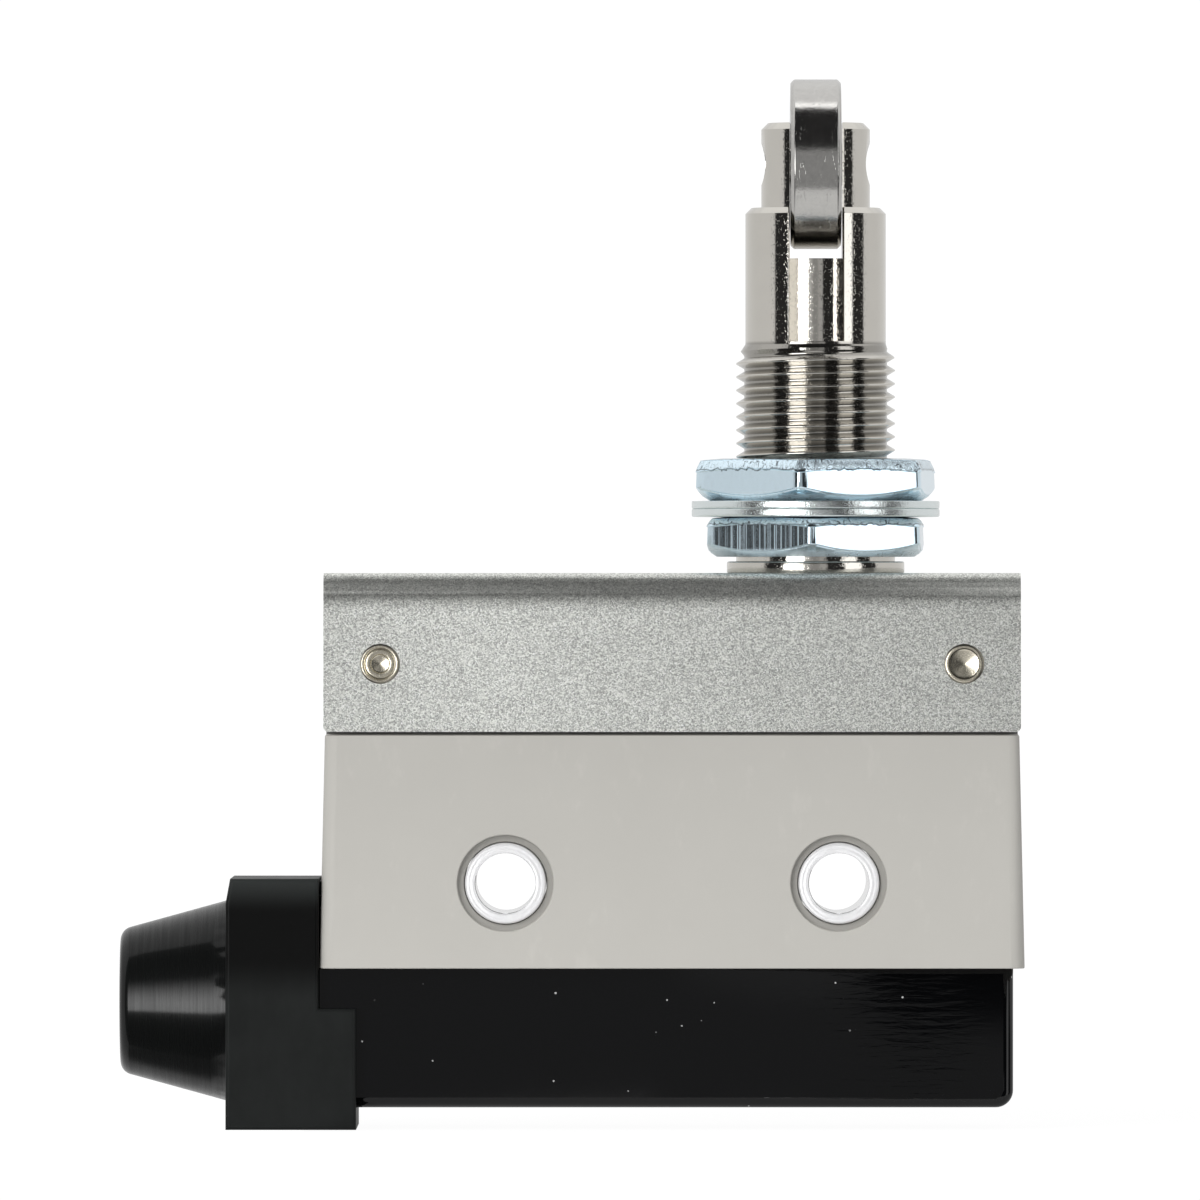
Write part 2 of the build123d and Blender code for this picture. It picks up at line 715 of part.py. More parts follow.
# Base: insulating block that the eyelets pass through, with slots for the three terminals
leg_places = ((common_leg_x, -1), (open_leg_x, -1), (closed_leg_x, -1))
screw_places = tuple(x + way * screw_from_leg for x, way in leg_places)
with BuildPart() as switch_base:
    with BuildSketch(Plane.XY.offset(base_bottom_z)):
        Rectangle(2 * base_half_x, 2 * base_half_y)
    extrude(amount=base_top_z - base_bottom_z)
    with BuildSketch(Plane.XY.offset(chamber_floor_z)):
        Rectangle(2 * chamber_half_x, 2 * chamber_half_y)
    extrude(amount=chamber_depth, mode=Mode.SUBTRACT)
    with BuildSketch(Plane.XZ):
        with Locations((-hole_x, 0), (hole_x, 0)):
            Circle(eyelet_dia / 2 + slip_gap)
    extrude(amount=case_depth, both=True, mode=Mode.SUBTRACT)
    with BuildSketch(Plane.XY.offset(base_bottom_z)):
        with Locations(*((x, 0) for x, way in leg_places)):
            Rectangle(strip + 2 * slip_gap, leg_width + 2 * slip_gap)
    extrude(amount=base_top_z - base_bottom_z, mode=Mode.SUBTRACT)
    with BuildSketch(Plane.XY.offset(base_bottom_z)):
        with Locations(*((x, 0) for x in screw_places)):
            Circle(screw_dia / 2 + slip_gap)
    extrude(amount=screw_reach + slip_gap, mode=Mode.SUBTRACT)

switch_base.part.label = "switch_base"
export_step(switch_base.part, "parts/switch_base.step")

# Inner cover over the contacts, with the hole that guides the button
with BuildPart() as inner_cover:
    with BuildSketch(Plane.XY.offset(base_top_z)):
        Rectangle(2 * base_half_x, 2 * base_half_y)
    extrude(amount=lid_height)
    with BuildSketch(Plane.XY.offset(base_top_z)):
        Rectangle(2 * chamber_half_x, 2 * chamber_half_y)
    extrude(amount=lid_ceiling_z - base_top_z, mode=Mode.SUBTRACT)
    with BuildSketch(Plane.XY.offset(lid_ceiling_z)):
        with Locations((barrel_x, 0)):
            Circle(button_dia / 2 + slip_gap)
    extrude(amount=lid_top_wall, mode=Mode.SUBTRACT)

inner_cover.part.label = "inner_cover"
export_step(inner_cover.part, "parts/inner_cover.step")

# Push button: guided in the inner cover, held in by its collar, with a nose on the blade
with BuildPart() as push_button:
    with BuildSketch(Plane.XY.offset(button_bottom_z)):
        with Locations((barrel_x, 0)):
            Circle(button_nose_dia / 2)
    extrude(amount=button_collar_z - button_bottom_z)
    with BuildSketch(Plane.XY.offset(button_collar_z)):
        with Locations((barrel_x, 0)):
            Circle(button_collar_dia / 2)
    extrude(amount=button_collar)
    with BuildSketch(Plane.XY.offset(button_collar_z + button_collar)):
        with Locations((barrel_x, 0)):
            Circle(button_dia / 2)
    extrude(amount=button_top_z - button_collar_z - button_collar)

push_button.part.label = "push_button"
export_step(push_button.part, "parts/push_button.step")

# Contact blade: a flat spring strip with a cut-out tongue and a rolled eye at the pivot
blade_end_x = contact_x + blade_overhang
with BuildPart() as contact_blade:
    with BuildSketch(Plane.XY.offset(blade_z)):
        with Locations((pivot_x, 0)):
            Rectangle(blade_end_x - pivot_x, blade_width, align=(Align.MIN, Align.CENTER))
        with Locations((contact_x, 0)):
            Circle(contact_shank_dia / 2, mode=Mode.SUBTRACT)
        slot_y = tongue_width / 2 + tongue_slot / 2
        with Locations((tongue_root_x, slot_y), (tongue_root_x, -slot_y)):
            Rectangle(tongue_length, tongue_slot, align=(Align.MAX, Align.CENTER), mode=Mode.SUBTRACT)
        with Locations((tongue_root_x - tongue_length, 0)):
            Rectangle(tongue_slot, tongue_width, align=(Align.MIN, Align.CENTER), mode=Mode.SUBTRACT)
    extrude(amount=blade_thickness)
    with BuildSketch(Plane.XZ):
        with Locations((pivot_x, blade_mid_z)):
            Circle(eye_dia / 2)
    extrude(amount=blade_width / 2, both=True)
    with BuildSketch(Plane.XZ):
        with Locations((pivot_x, blade_mid_z)):
            Circle(pivot_pin_dia / 2 + pin_gap)
    extrude(amount=blade_width, both=True, mode=Mode.SUBTRACT)

contact_blade.part.label = "contact_blade"
export_step(contact_blade.part, "parts/contact_blade.step")

# Moving contact: riveted through the blade, with a head above and one below
with BuildPart() as moving_contact:
    with BuildSketch(Plane.XY.offset(moving_contact_z)):
        with Locations((contact_x, 0)):
            Circle(contact_dia / 2)
    extrude(amount=blade_z - moving_contact_z)
    with BuildSketch(Plane.XY.offset(blade_z)):
        with Locations((contact_x, 0)):
            Circle(contact_shank_dia / 2)
    extrude(amount=blade_thickness)
    with BuildSketch(Plane.XY.offset(blade_top_z)):
        with Locations((contact_x, 0)):
            Circle(contact_dia / 2)
    extrude(amount=moving_contact_z + moving_contact_height - blade_top_z)

moving_contact.part.label = "moving_contact"
export_step(moving_contact.part, "parts/moving_contact.step")

# Pivot pin, across the common terminal's two ears
ear_inner_y = blade_width / 2 + 3 * slip_gap
with BuildPart() as blade_pivot_pin:
    with BuildSketch(Plane.XZ):
        with Locations((pivot_x, blade_mid_z)):
            Circle(pivot_pin_dia / 2)
    extrude(amount=ear_inner_y + strip, both=True)

blade_pivot_pin.part.label = "blade_pivot_pin"
export_step(blade_pivot_pin.part, "parts/blade_pivot_pin.step")

# Common terminal: two ears for the pivot pin, a leg down through the base, a plate below it
with BuildPart() as common_terminal:
    with BuildSketch(Plane.XY.offset(chamber_floor_z)):
        with Locations((pivot_x, 0)):
            Rectangle(ear_width, 2 * (ear_inner_y + strip))
    extrude(amount=strip)
    for side in (-1, 1):
        with BuildSketch(Plane.XY.offset(chamber_floor_z)):
            with Locations((pivot_x, side * (ear_inner_y + strip / 2))):
                Rectangle(ear_width, strip)
        extrude(amount=blade_mid_z + ear_above_pivot - chamber_floor_z)
    with BuildSketch(Plane.XZ):
        with Locations((pivot_x, blade_mid_z)):
            Circle(pivot_pin_dia / 2 + pin_gap)
    extrude(amount=plate_width, both=True, mode=Mode.SUBTRACT)
    with BuildSketch(Plane.XY.offset(plate_z)):
        with Locations((common_leg_x, 0)):
            Rectangle(strip, leg_width)
    extrude(amount=chamber_floor_z - plate_z)
    with BuildSketch(Plane.XY.offset(plate_z)):
        with Locations((common_leg_x + strip / 2, 0)):
            Rectangle(plate_length, plate_width, align=(Align.MAX, Align.CENTER))
        with Locations((screw_places[0], 0)):
            Circle(screw_dia / 2 + seat_gap, mode=Mode.SUBTRACT)
    extrude(amount=strip)

common_terminal.part.label = "common_terminal"
export_step(common_terminal.part, "parts/common_terminal.step")

# Normally open terminal: a strip on the chamber's floor under the blade's end
with BuildPart() as normally_open_terminal:
    with BuildSketch(Plane.XY.offset(open_strip_z)):
        with Locations((open_leg_x - strip / 2, 0)):
            Rectangle(
                contact_x + fixed_contact_dia / 2 - open_leg_x + strip / 2,
                leg_width,
                align=(Align.MIN, Align.CENTER),
            )
    extrude(amount=strip)
    with BuildSketch(Plane.XY.offset(plate_z)):
        with Locations((open_leg_x, 0)):
            Rectangle(strip, leg_width)
    extrude(amount=open_strip_z - plate_z)
    with BuildSketch(Plane.XY.offset(plate_z)):
        with Locations((open_leg_x + strip / 2, 0)):
            Rectangle(plate_length, plate_width, align=(Align.MAX, Align.CENTER))
        with Locations((screw_places[1], 0)):
            Circle(screw_dia / 2 + seat_gap, mode=Mode.SUBTRACT)
    extrude(amount=strip)

normally_open_terminal.part.label = "normally_open_terminal"
export_step(normally_open_terminal.part, "parts/normally_open_terminal.step")

# Normally closed terminal: a leg up past the blade's end, with a tab back over it
with BuildPart() as normally_closed_terminal:
    with BuildSketch(Plane.XY.offset(closed_tab_z)):
        with Locations((closed_leg_x + strip / 2, 0)):
            Rectangle(closed_tab_reach + strip, leg_width, align=(Align.MAX, Align.CENTER))
    extrude(amount=strip)
    with BuildSketch(Plane.XY.offset(plate_z)):
        with Locations((closed_leg_x, 0)):
            Rectangle(strip, leg_width)
    extrude(amount=closed_tab_z - plate_z)
    with BuildSketch(Plane.XY.offset(plate_z)):
        with Locations((closed_leg_x + strip / 2, 0)):
            Rectangle(plate_length, plate_width, align=(Align.MAX, Align.CENTER))
        with Locations((screw_places[2], 0)):
            Circle(screw_dia / 2 + seat_gap, mode=Mode.SUBTRACT)
    extrude(amount=strip)

normally_closed_terminal.part.label = "normally_closed_terminal"
export_step(normally_closed_terminal.part, "parts/normally_closed_terminal.step")

# Fixed contacts, one on the open terminal's strip and one under the closed terminal's tab
fixed_contacts = (
    ("normally_open_contact", open_contact_z, open_contact_height),
    ("normally_closed_contact", closed_contact_z, closed_contact_height),
)
for name, z, height in fixed_contacts:
    with BuildPart() as fixed_contact:
        with BuildSketch(Plane.XY.offset(z)):
            with Locations((contact_x, 0)):
                Circle(fixed_contact_dia / 2)
        extrude(amount=height)
    fixed_contact.part.label = name
    export_step(fixed_contact.part, f"parts/{name}.step")

# Terminal screws and the clamp washers under their heads
for name, x in zip(("common", "normally_open", "normally_closed"), screw_places):
    with BuildPart() as screw:
        with BuildSketch(Plane.XY.offset(screw_head_z)):
            with Locations((x, 0)):
                Circle(screw_head_dia / 2)
        extrude(amount=screw_head)
        chamfer(screw.edges().group_by(Axis.Z)[0], screw_head_chamfer)
        with BuildSketch(Plane.XY.offset(screw_head_z)):
            with Locations((x, 0)):
                Rectangle(screw_slot, screw_head_dia)
        extrude(amount=screw_slot_depth, mode=Mode.SUBTRACT)
        with BuildSketch(Plane.XY.offset(screw_head_z + screw_head)):
            with Locations((x, 0)):
                Circle(screw_dia / 2)
        extrude(amount=screw_top_z - screw_head_z - screw_head)
    screw.part.label = f"{name}_screw"
    export_step(screw.part, f"parts/{name}_screw.step")

    with BuildPart() as clamp_washer:
        with BuildSketch(Plane.XY.offset(clamp_z)):
            with Locations((x, 0)):
                RectangleRounded(clamp_width, clamp_width, clamp_corner_radius)
                Circle(screw_dia / 2 + slip_gap, mode=Mode.SUBTRACT)
        extrude(amount=clamp_thickness)
    clamp_washer.part.label = f"{name}_clamp_washer"
    export_step(clamp_washer.part, f"parts/{name}_clamp_washer.step")

# Terminal cover: a tray, open above and at its left end, with a lip that snaps into the housing
with BuildPart() as terminal_cover:
    with BuildSketch(Plane.XZ):
        with Locations((terminal_cover_left, terminal_cover_bottom_z)):
            Rectangle(
                terminal_cover_right - terminal_cover_left,
                terminal_cover_height,
                align=(Align.MIN, Align.MIN),
            )
        end_corner = vertices().group_by(Axis.Y)[0].sort_by(Axis.X)[-1]
        fillet(end_corner, terminal_cover_end_radius)
    extrude(amount=terminal_cover_half_y, both=True)
    rim = terminal_cover.faces().filter_by(Axis.Y).edges()
    rim = rim.filter_by(lambda e: e.center().Z < case_bottom_z - slip_gap)
    rim = rim.filter_by(lambda e: e.center().X > terminal_cover_left + slip_gap)
    fillet(rim, terminal_cover_edge_radius)
    with BuildSketch(Plane.XY.offset(terminal_cover_bottom_z + terminal_cover_wall)):
        with Locations((terminal_inner_right, 0)):
            Rectangle(
                terminal_inner_right - terminal_cover_left,
                2 * terminal_inner_half_y,
                align=(Align.MAX, Align.CENTER),
            )
    extrude(amount=terminal_cover_height, mode=Mode.SUBTRACT)
    with BuildSketch(Plane.XY.offset(case_bottom_z)):
        Rectangle(2 * lip_half_x, 2 * lip_half_y)
        with Locations((lip_half_x - lip_thickness, 0)):
            Rectangle(
                2 * lip_half_x,
                2 * (lip_half_y - lip_thickness),
                align=(Align.MAX, Align.CENTER),
                mode=Mode.SUBTRACT,
            )
    extrude(amount=lip_height)

terminal_cover.part.label = "terminal_cover"
export_step(terminal_cover.part, "parts/terminal_cover.step")

# Cable boot: hollow rubber block with a skirt around the terminal cover's open end, a tongue
# in the housing's notch, and a cone that the cable comes out of
cone_axis = Axis((0, 0, cone_z), (1, 0, 0))
with BuildPart() as cable_boot:
    with BuildSketch(Plane.XZ):
        with BuildLine():
            Polyline(
                (boot_left, boot_bottom_z),
                (skirt_right, boot_bottom_z),
                (skirt_right, skirt_top_z),
                (boot_right, skirt_top_z),
                (boot_right, boot_top_z),
                (boot_left + boot_lean, boot_top_z),
                (boot_left, boot_top_z - boot_lean_height),
                close=True,
            )
        make_face()
    extrude(amount=boot_half_y, both=True)
    fillet(cable_boot.faces().filter_by(Axis.Y).edges(), boot_edge_radius)
    with BuildSketch(Plane.XZ):
        with BuildLine():
            Polyline(
                (boot_inner_left, cone_z),
                (boot_inner_left, cone_z + cone_root_radius),
                (boot_left, cone_z + cone_root_radius),
                (cone_end_x, cone_z + cone_end_radius),
                (cone_end_x, cone_z),
                close=True,
            )
        make_face()
    revolve(axis=cone_axis)
    fillet(cable_boot.edges().filter_by(GeomType.CIRCLE).sort_by(Axis.X)[0], cone_end_fillet)
    # chamber, open towards the terminal cover
    with BuildSketch(Plane.YZ.offset(boot_inner_left)):
        with Locations((0, boot_inner_bottom_z)):
            Rectangle(
                2 * (boot_half_y - boot_wall),
                boot_inner_top_z - boot_inner_bottom_z,
                align=(Align.CENTER, Align.MIN),
            )
    extrude(amount=boot_right - boot_inner_left, mode=Mode.SUBTRACT)
    # room inside the skirt for the terminal cover
    with BuildSketch(Plane.YZ.offset(boot_right)):
        with Locations((0, terminal_cover_bottom_z - slip_gap)):
            Rectangle(
                2 * (terminal_cover_half_y + slip_gap),
                terminal_cover_height,
                align=(Align.CENTER, Align.MIN),
            )
    extrude(amount=skirt_right - boot_right, mode=Mode.SUBTRACT)
    # way through the cone for the cable
    with BuildSketch(Plane.YZ.offset(cone_end_x)):
        with Locations((0, cone_z)):
            Circle(cable_dia / 2)
    extrude(amount=boot_inner_left - cone_end_x, mode=Mode.SUBTRACT)
    # tongue
    with BuildSketch(Plane.XY.offset(tongue_z)):
        with Locations((tongue_right, 0)):
            Rectangle(
                tongue_right - boot_right + boot_wall,
                boot_tongue_width,
                align=(Align.MAX, Align.CENTER),
            )
    extrude(amount=tongue_thickness)

cable_boot.part.label = "cable_boot"
export_step(cable_boot.part, "parts/cable_boot.step")
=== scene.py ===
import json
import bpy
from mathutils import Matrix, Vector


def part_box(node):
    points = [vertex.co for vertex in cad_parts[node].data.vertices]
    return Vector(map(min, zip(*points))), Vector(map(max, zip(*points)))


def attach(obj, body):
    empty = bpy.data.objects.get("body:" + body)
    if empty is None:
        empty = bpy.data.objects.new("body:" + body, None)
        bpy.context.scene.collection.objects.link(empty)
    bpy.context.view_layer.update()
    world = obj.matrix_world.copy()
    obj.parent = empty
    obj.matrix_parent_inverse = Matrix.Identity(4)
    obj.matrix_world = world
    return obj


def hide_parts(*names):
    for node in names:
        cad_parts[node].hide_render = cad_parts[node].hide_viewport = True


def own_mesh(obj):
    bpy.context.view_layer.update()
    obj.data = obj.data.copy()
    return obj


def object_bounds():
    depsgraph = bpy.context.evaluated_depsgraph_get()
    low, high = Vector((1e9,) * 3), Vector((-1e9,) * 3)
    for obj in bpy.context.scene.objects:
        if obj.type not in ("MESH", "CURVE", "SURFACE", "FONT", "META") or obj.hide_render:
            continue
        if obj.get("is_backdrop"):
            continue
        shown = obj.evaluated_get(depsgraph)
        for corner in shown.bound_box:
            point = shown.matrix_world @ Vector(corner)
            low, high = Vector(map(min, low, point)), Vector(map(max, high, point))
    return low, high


bl_info = {
    "name": "Enclosed micro switch",
    "version": (1, 0, 0),
    "blender": (4, 5, 0),
    "location": "View3D > Sidebar > Micro switch",
    "description": "Dresses an enclosed micro switch with a threaded barrel and a roller plunger",
    "category": "Object",
}

from math import cos, pi, radians, sin, sqrt, tan

import bmesh
import bpy
from bpy.props import FloatProperty, FloatVectorProperty, PointerProperty
from bpy.types import Operator, Panel, PropertyGroup
from mathutils import Matrix, Vector

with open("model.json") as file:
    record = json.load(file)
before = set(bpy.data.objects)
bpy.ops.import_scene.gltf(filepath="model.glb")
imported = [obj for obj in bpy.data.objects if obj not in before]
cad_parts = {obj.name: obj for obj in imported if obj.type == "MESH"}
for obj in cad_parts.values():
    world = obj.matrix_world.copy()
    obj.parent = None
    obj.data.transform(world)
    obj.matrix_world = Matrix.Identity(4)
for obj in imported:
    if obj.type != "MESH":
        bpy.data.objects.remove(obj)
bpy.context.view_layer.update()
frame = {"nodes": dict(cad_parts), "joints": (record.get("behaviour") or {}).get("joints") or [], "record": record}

MM = 0.001
UP = Vector((0, 0, 1))
ACROSS = Vector((1, 0, 0))
DEEP = Vector((0, 1, 0))
# corners nearer to each other than this become one
MERGE = 0.0005 * MM
WHITE = (1, 1, 1, 1)
# strength at which the floor and the studio read as plain white to the camera
WHITE_BACKGROUND = 1.04


def a_length(name, description, millimetres):
    return FloatProperty(name=name, description=description, default=millimetres * MM, unit="LENGTH")


def an_angle(name, description, degrees):
    return FloatProperty(name=name, description=description, default=radians(degrees), subtype="ANGLE")


def a_colour(name, description, linear):
    return FloatVectorProperty(name=name, description=description, default=linear, subtype="COLOR")


class BarrelSizes(PropertyGroup):
    """Sizes of the turned barrel, its nuts and its washers"""

    thread_dia: a_length("Thread diameter", "Over the crests", 12.0)
    thread_pitch: a_length("Thread pitch", "From crest to crest", 1.0)
    collar_dia: a_length("Collar diameter", "Smooth part over the thread", 10.6)
    collar_length: a_length("Collar length", "Height of the smooth part", 10.3)
    slot_width: a_length("Slot width", "Slot that the roller runs down in", 4.2)
    slot_depth: a_length("Slot depth", "Depth of that slot", 10.1)
    bore_dia: a_length("Bore", "Bore for the plunger", 8.3)
    floor_bore_dia: a_length("Floor bore", "Hole for the plunger's stem", 5.3)
    floor_height: a_length("Floor", "Thickness of the barrel's floor", 1.9)
    tail_dia: a_length("Tail diameter", "Part inside the housing", 11.0)
    flange_height: a_length("Flange height", "Thickness of the flange", 0.88)
    lower_nut_turn: an_angle("Lower nut turn", "Angle of one corner", 27.3)
    upper_nut_turn: an_angle("Upper nut turn", "Angle of one corner", 22.5)


class PlungerSizes(PropertyGroup):
    """Sizes of the plunger, its roller and the roller's pin"""

    dia: a_length("Plunger diameter", "Part that runs in the barrel", 8.2)
    stem_dia: a_length("Stem diameter", "Stem inside the return spring", 5.2)
    step_below_top: a_length("Step", "From the top down to the stem", 23.2)
    fork_width: a_length("Fork slot", "Slot for the roller", 3.96)
    fork_depth: a_length("Fork depth", "Depth of that slot", 10.25)
    roller_chamfer: a_length("Roller chamfer", "Broken edge on both rims", 0.27)


class CaseSizes(PropertyGroup):
    """Sizes of the housing's fittings"""

    hole_dia: a_length("Mounting hole", "Bore of the eyelets", 4.5)
    rivet_shank_dia: a_length("Rivet shank", "Rivet through the housing", 2.3)
    edge_width: a_length("Moulded edge", "Broken edge of the mouldings", 0.12)


class SwitchColours(PropertyGroup):
    """Colours of the finishes, as linear light"""

    case: a_colour("Case", "Moulded housing", (0.49, 0.477, 0.444))
    paint: a_colour("Paint", "Sheet cover's paint", (0.71, 0.72, 0.685))
    black: a_colour("Black moulding", "Terminal cover", (0.0010, 0.0011, 0.0014))
    rubber: a_colour("Rubber", "Cable boot", (0.0125, 0.0138, 0.0135))
    nickel: a_colour("Nickel", "Barrel and plunger", (0.675, 0.65, 0.60))
    rivet: a_colour("Rivets", "Plated rivets", (0.74, 0.69, 0.57))
    nut: a_colour("Nuts", "Bluish zinc plating", (0.76, 0.91, 1.0))
    washer: a_colour("Washers", "Plain zinc plating", (0.82, 0.88, 0.88))
    steel: a_colour("Steel", "Roller and its pin", (0.56, 0.55, 0.53))
    eyelet: a_colour("Eyelet", "Mounting eyelets", (0.86, 0.86, 0.87))


class Value:
    """One number in a node tree. Sums and products of values add their Math nodes."""

    def __init__(self, graph, socket):
        self.graph = graph
        self.socket = socket

    def maths(self, operation, *others):
        inputs = dict(enumerate((self, *others)))
        return self.graph.value("ShaderNodeMath", {"operation": operation}, inputs)

    def __add__(self, other):
        return self.maths("ADD", other)

    __radd__ = __add__

    def __sub__(self, other):
        return self.maths("SUBTRACT", other)

    def __rsub__(self, other):
        return (self * -1.0).maths("ADD", other)

    def __mul__(self, other):
        return self.maths("MULTIPLY", other)

    __rmul__ = __mul__

    def __truediv__(self, other):
        return self.maths("DIVIDE", other)


class Graph:
    """A node tree that is filled by expressions."""

    def __init__(self, tree):
        self.tree = tree
        tree.nodes.clear()

    def node(self, kind, settings=None, inputs=None):
        """Adds a node, sets its settings, then its sockets' values or links."""
        node = self.tree.nodes.new(kind)
        for name, setting in (settings or {}).items():
            setattr(node, name, setting)
        for name, given in (inputs or {}).items():
            self.feed(node.inputs[name], given)
        return node

    def feed(self, socket, given):
        if isinstance(given, Value):
            self.tree.links.new(given.socket, socket)
        elif isinstance(given, bpy.types.NodeSocket):
            self.tree.links.new(given, socket)
        else:
            socket.default_value = given

    def value(self, kind, settings, inputs):
        return Value(self, self.node(kind, settings, inputs).outputs[0])

    def place(self):
        """Where a point lies on the object, in the object's own metres."""
        return self.node("ShaderNodeTexCoord").outputs["Object"]

    def axes(self, vector):
        split = self.node("ShaderNodeSeparateXYZ", inputs={0: vector})
        return tuple(Value(self, split.outputs[index]) for index in range(3))

    def stretched(self, vector, scale):
        return self.node("ShaderNodeMapping", inputs={"Vector": vector, "Scale": scale}).outputs[0]

    def noise(self, vector, scale, detail=2.0, roughness=0.5, distortion=0.0):
        """Soft noise about 0.5, with scale in features to the metre."""
        inputs = {"Vector": vector, "Scale": scale, "Detail": detail}
        inputs |= {"Roughness": roughness, "Distortion": distortion}
        return self.value("ShaderNodeTexNoise", {"noise_dimensions": "3D"}, inputs)

    def step(self, value, low, high, from_value=0.0, to_value=1.0):
        """Rises smoothly from from_value at low to to_value at high."""
        settings = {"interpolation_type": "SMOOTHSTEP", "clamp": True}
        inputs = {"Value": value, "From Min": low, "From Max": high}
        inputs |= {"To Min": from_value, "To Max": to_value}
        return self.value("ShaderNodeMapRange", settings, inputs)

    def window(self, value, low, high, soft):
        """One between low and high, with soft edges."""
        rise = self.step(value, low - soft, low + soft)
        return rise * self.step(value, high - soft, high + soft, 1.0, 0.0)

    def blend(self, share, first, second):
        """A colour between two colours."""
        settings = {"data_type": "RGBA", "clamp_factor": True}
        return self.node("ShaderNodeMix", settings, {0: share, 6: first, 7: second}).outputs[2]

    def tinted(self, colour, amount):
        """A colour times a number."""
        inputs = {0: tuple(colour), "Scale": amount}
        return self.node("ShaderNodeVectorMath", {"operation": "SCALE"}, inputs).outputs[0]

    def cells(self, place, scale):
        """Irregular cells: the distance from each cell's middle, and its random colour."""
        inputs = {"Vector": place, "Scale": scale}
        return self.node("ShaderNodeTexVoronoi", {"feature": "F1"}, inputs).outputs

    def dust(self, place, share):
        """One on a few small specks, zero elsewhere."""
        cells = self.cells(place, 620.0)
        near = self.step(Value(self, cells["Distance"]), 0.06, 0.03)
        chosen = self.axes(cells["Color"])[0]
        return near * self.step(chosen, 1.0 - share, 1.0 - share * 0.5)

    def ray(self, kind):
        """One for rays of a kind, such as Camera, zero for the others."""
        return Value(self, self.node("ShaderNodeLightPath").outputs["Is " + kind + " Ray"])

    def bump(self, height, distance, strength=1.0, normal=None):
        inputs = {"Height": height, "Distance": distance, "Strength": strength}
        if normal is not None:
            inputs["Normal"] = normal
        return self.node("ShaderNodeBump", inputs=inputs).outputs[0]


def off_axis(first, second):
    """Distance from an axis, of two offsets across it."""
    return (first * first + second * second).maths("SQRT")


def new_finish(name, build, *details):
    """A material. Its build function gets a graph, the place on the object and its details."""
    material = bpy.data.materials.new(name)
    material.use_nodes = True
    g = Graph(material.node_tree)
    shader = g.node("ShaderNodeBsdfPrincipled")
    g.node("ShaderNodeOutputMaterial", inputs={"Surface": shader.outputs[0]})
    for socket, given in build(g, g.place(), *details).items():
        g.feed(shader.inputs[socket], given)
    return material


def case_finish(g, place, colour):
    """Warm grey moulding: fine matt grain and faint mottling, with painted shade in the eyelets' recesses, a
    painted shadow just under the cover, and painted light that makes it lighter towards the bottom.
    """
    spread = middle("mounting_eyelet_right").x
    recess = 3.6 * MM
    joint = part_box("top_cover")[0].z
    x, _, z = g.axes(place)
    cloud = g.noise(place, 110.0, 4.0, 0.6)
    grain = g.noise(place, 9000.0, 2.0, 0.6)
    scuff = g.step(g.noise(g.stretched(place, (1.0, 1.0, 0.5)), 520.0, 4.0, 0.65), 0.56, 0.76)
    out = x.maths("ABSOLUTE") - spread
    # painted shade in the recesses round the eyelets
    hidden = g.step(off_axis(out, z), recess + 0.02 * MM, recess - 0.02 * MM) * 0.30
    # painted shadow: a dark band on the housing just under the cover's edge
    gap = g.step(z, joint - 0.22 * MM, joint - 0.12 * MM) * 0.85
    # the - z * 7.0 term is painted light: lighter towards the bottom, as if lit from below
    surface = 0.885 + cloud * 0.07 + grain * 0.02 + scuff * 0.05 - z * 7.0
    level = surface * (1.0 - hidden) * (1.0 - gap)
    return {
        "Base Color": g.tinted(colour, level),
        "Roughness": 0.46 + grain * 0.14 - scuff * 0.06,
        "Specular IOR Level": 0.4,
        "Normal": g.bump(grain, 0.006 * MM, 0.6),
    }


def paint_finish(g, place, colour):
    """Silver-grey sparkle paint on a slightly bowed sheet, with metal flakes of many shades; its brightest flakes
    are painted glints, and along the bends the flakes are calmer and the colour is darkened as painted shade.
    """
    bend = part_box("top_cover")[1].z - 2.97 * MM
    x, _, z = g.axes(place)
    shade, sparkle = g.axes(g.cells(place, 12500.0)["Color"])[:2]
    # the brightest flakes, lifted in the colour as painted glints
    bright = g.step(sparkle, 0.90, 0.97)
    cloud = g.noise(place, 900.0, 3.0, 0.6)
    # along the bends: calmer flakes, and a darker colour that is painted shade
    calm_and_shaded_bend = g.window(z, bend + 1.1 * MM, bend + 2.55 * MM, 0.35 * MM)
    flakes = (shade * 0.92 + bright * 0.4) * (1.0 - calm_and_shaded_bend * 0.45)
    level = (0.44 + flakes + cloud * 0.16) * (1.0 - calm_and_shaded_bend * 0.2)
    off_middle = x + 14.0 * MM
    bow = off_middle * off_middle.maths("ABSOLUTE") * -0.9 + x * 0.02
    low = (z - bend).maths("MAXIMUM", 0.0)
    high = (z - bend - 1.25 * MM).maths("MAXIMUM", 0.0)
    rolled = low * low * 133.0 - high * high * 375.0
    flat = g.bump(bow - rolled, 1.0, 1.0)
    return {
        "Base Color": g.tinted(colour, level),
        "Metallic": 0.9,
        "Roughness": 0.29 + shade * 0.10,
        "Specular IOR Level": 0.35,
        "Normal": g.bump(shade + cloud, 0.012 * MM, 0.5, flat),
    }


def black_finish(g, place, colour):
    """Glossy black moulding, dished and rippled where the melt met the far end of the mould."""
    x, _, z = g.axes(place)
    far_end = g.step(x, -3.0 * MM, 19.0 * MM)
    up = z + 11.2 * MM
    ripples = g.window(x, 5.0 * MM, 22.0 * MM, 3.0 * MM)
    flow = g.noise(g.stretched(place, (0.2, 0.2, 1.5)), 1500.0, 3.0, 0.55, 0.5)
    skin = g.noise(place, 260.0, 2.0, 0.5)
    height = far_end * up * (up * -3.0 - 0.175) + ripples * flow * (0.015 * MM) + skin * (0.005 * MM)
    return {
        "Base Color": g.blend(g.dust(place, 0.9), (*colour, 1.0), (0.5, 0.5, 0.5, 1.0)),
        "Roughness": 0.05 + skin * 0.03,
        "Specular IOR Level": 0.36,
        "Normal": g.bump(height, 1.0, 1.0),
    }


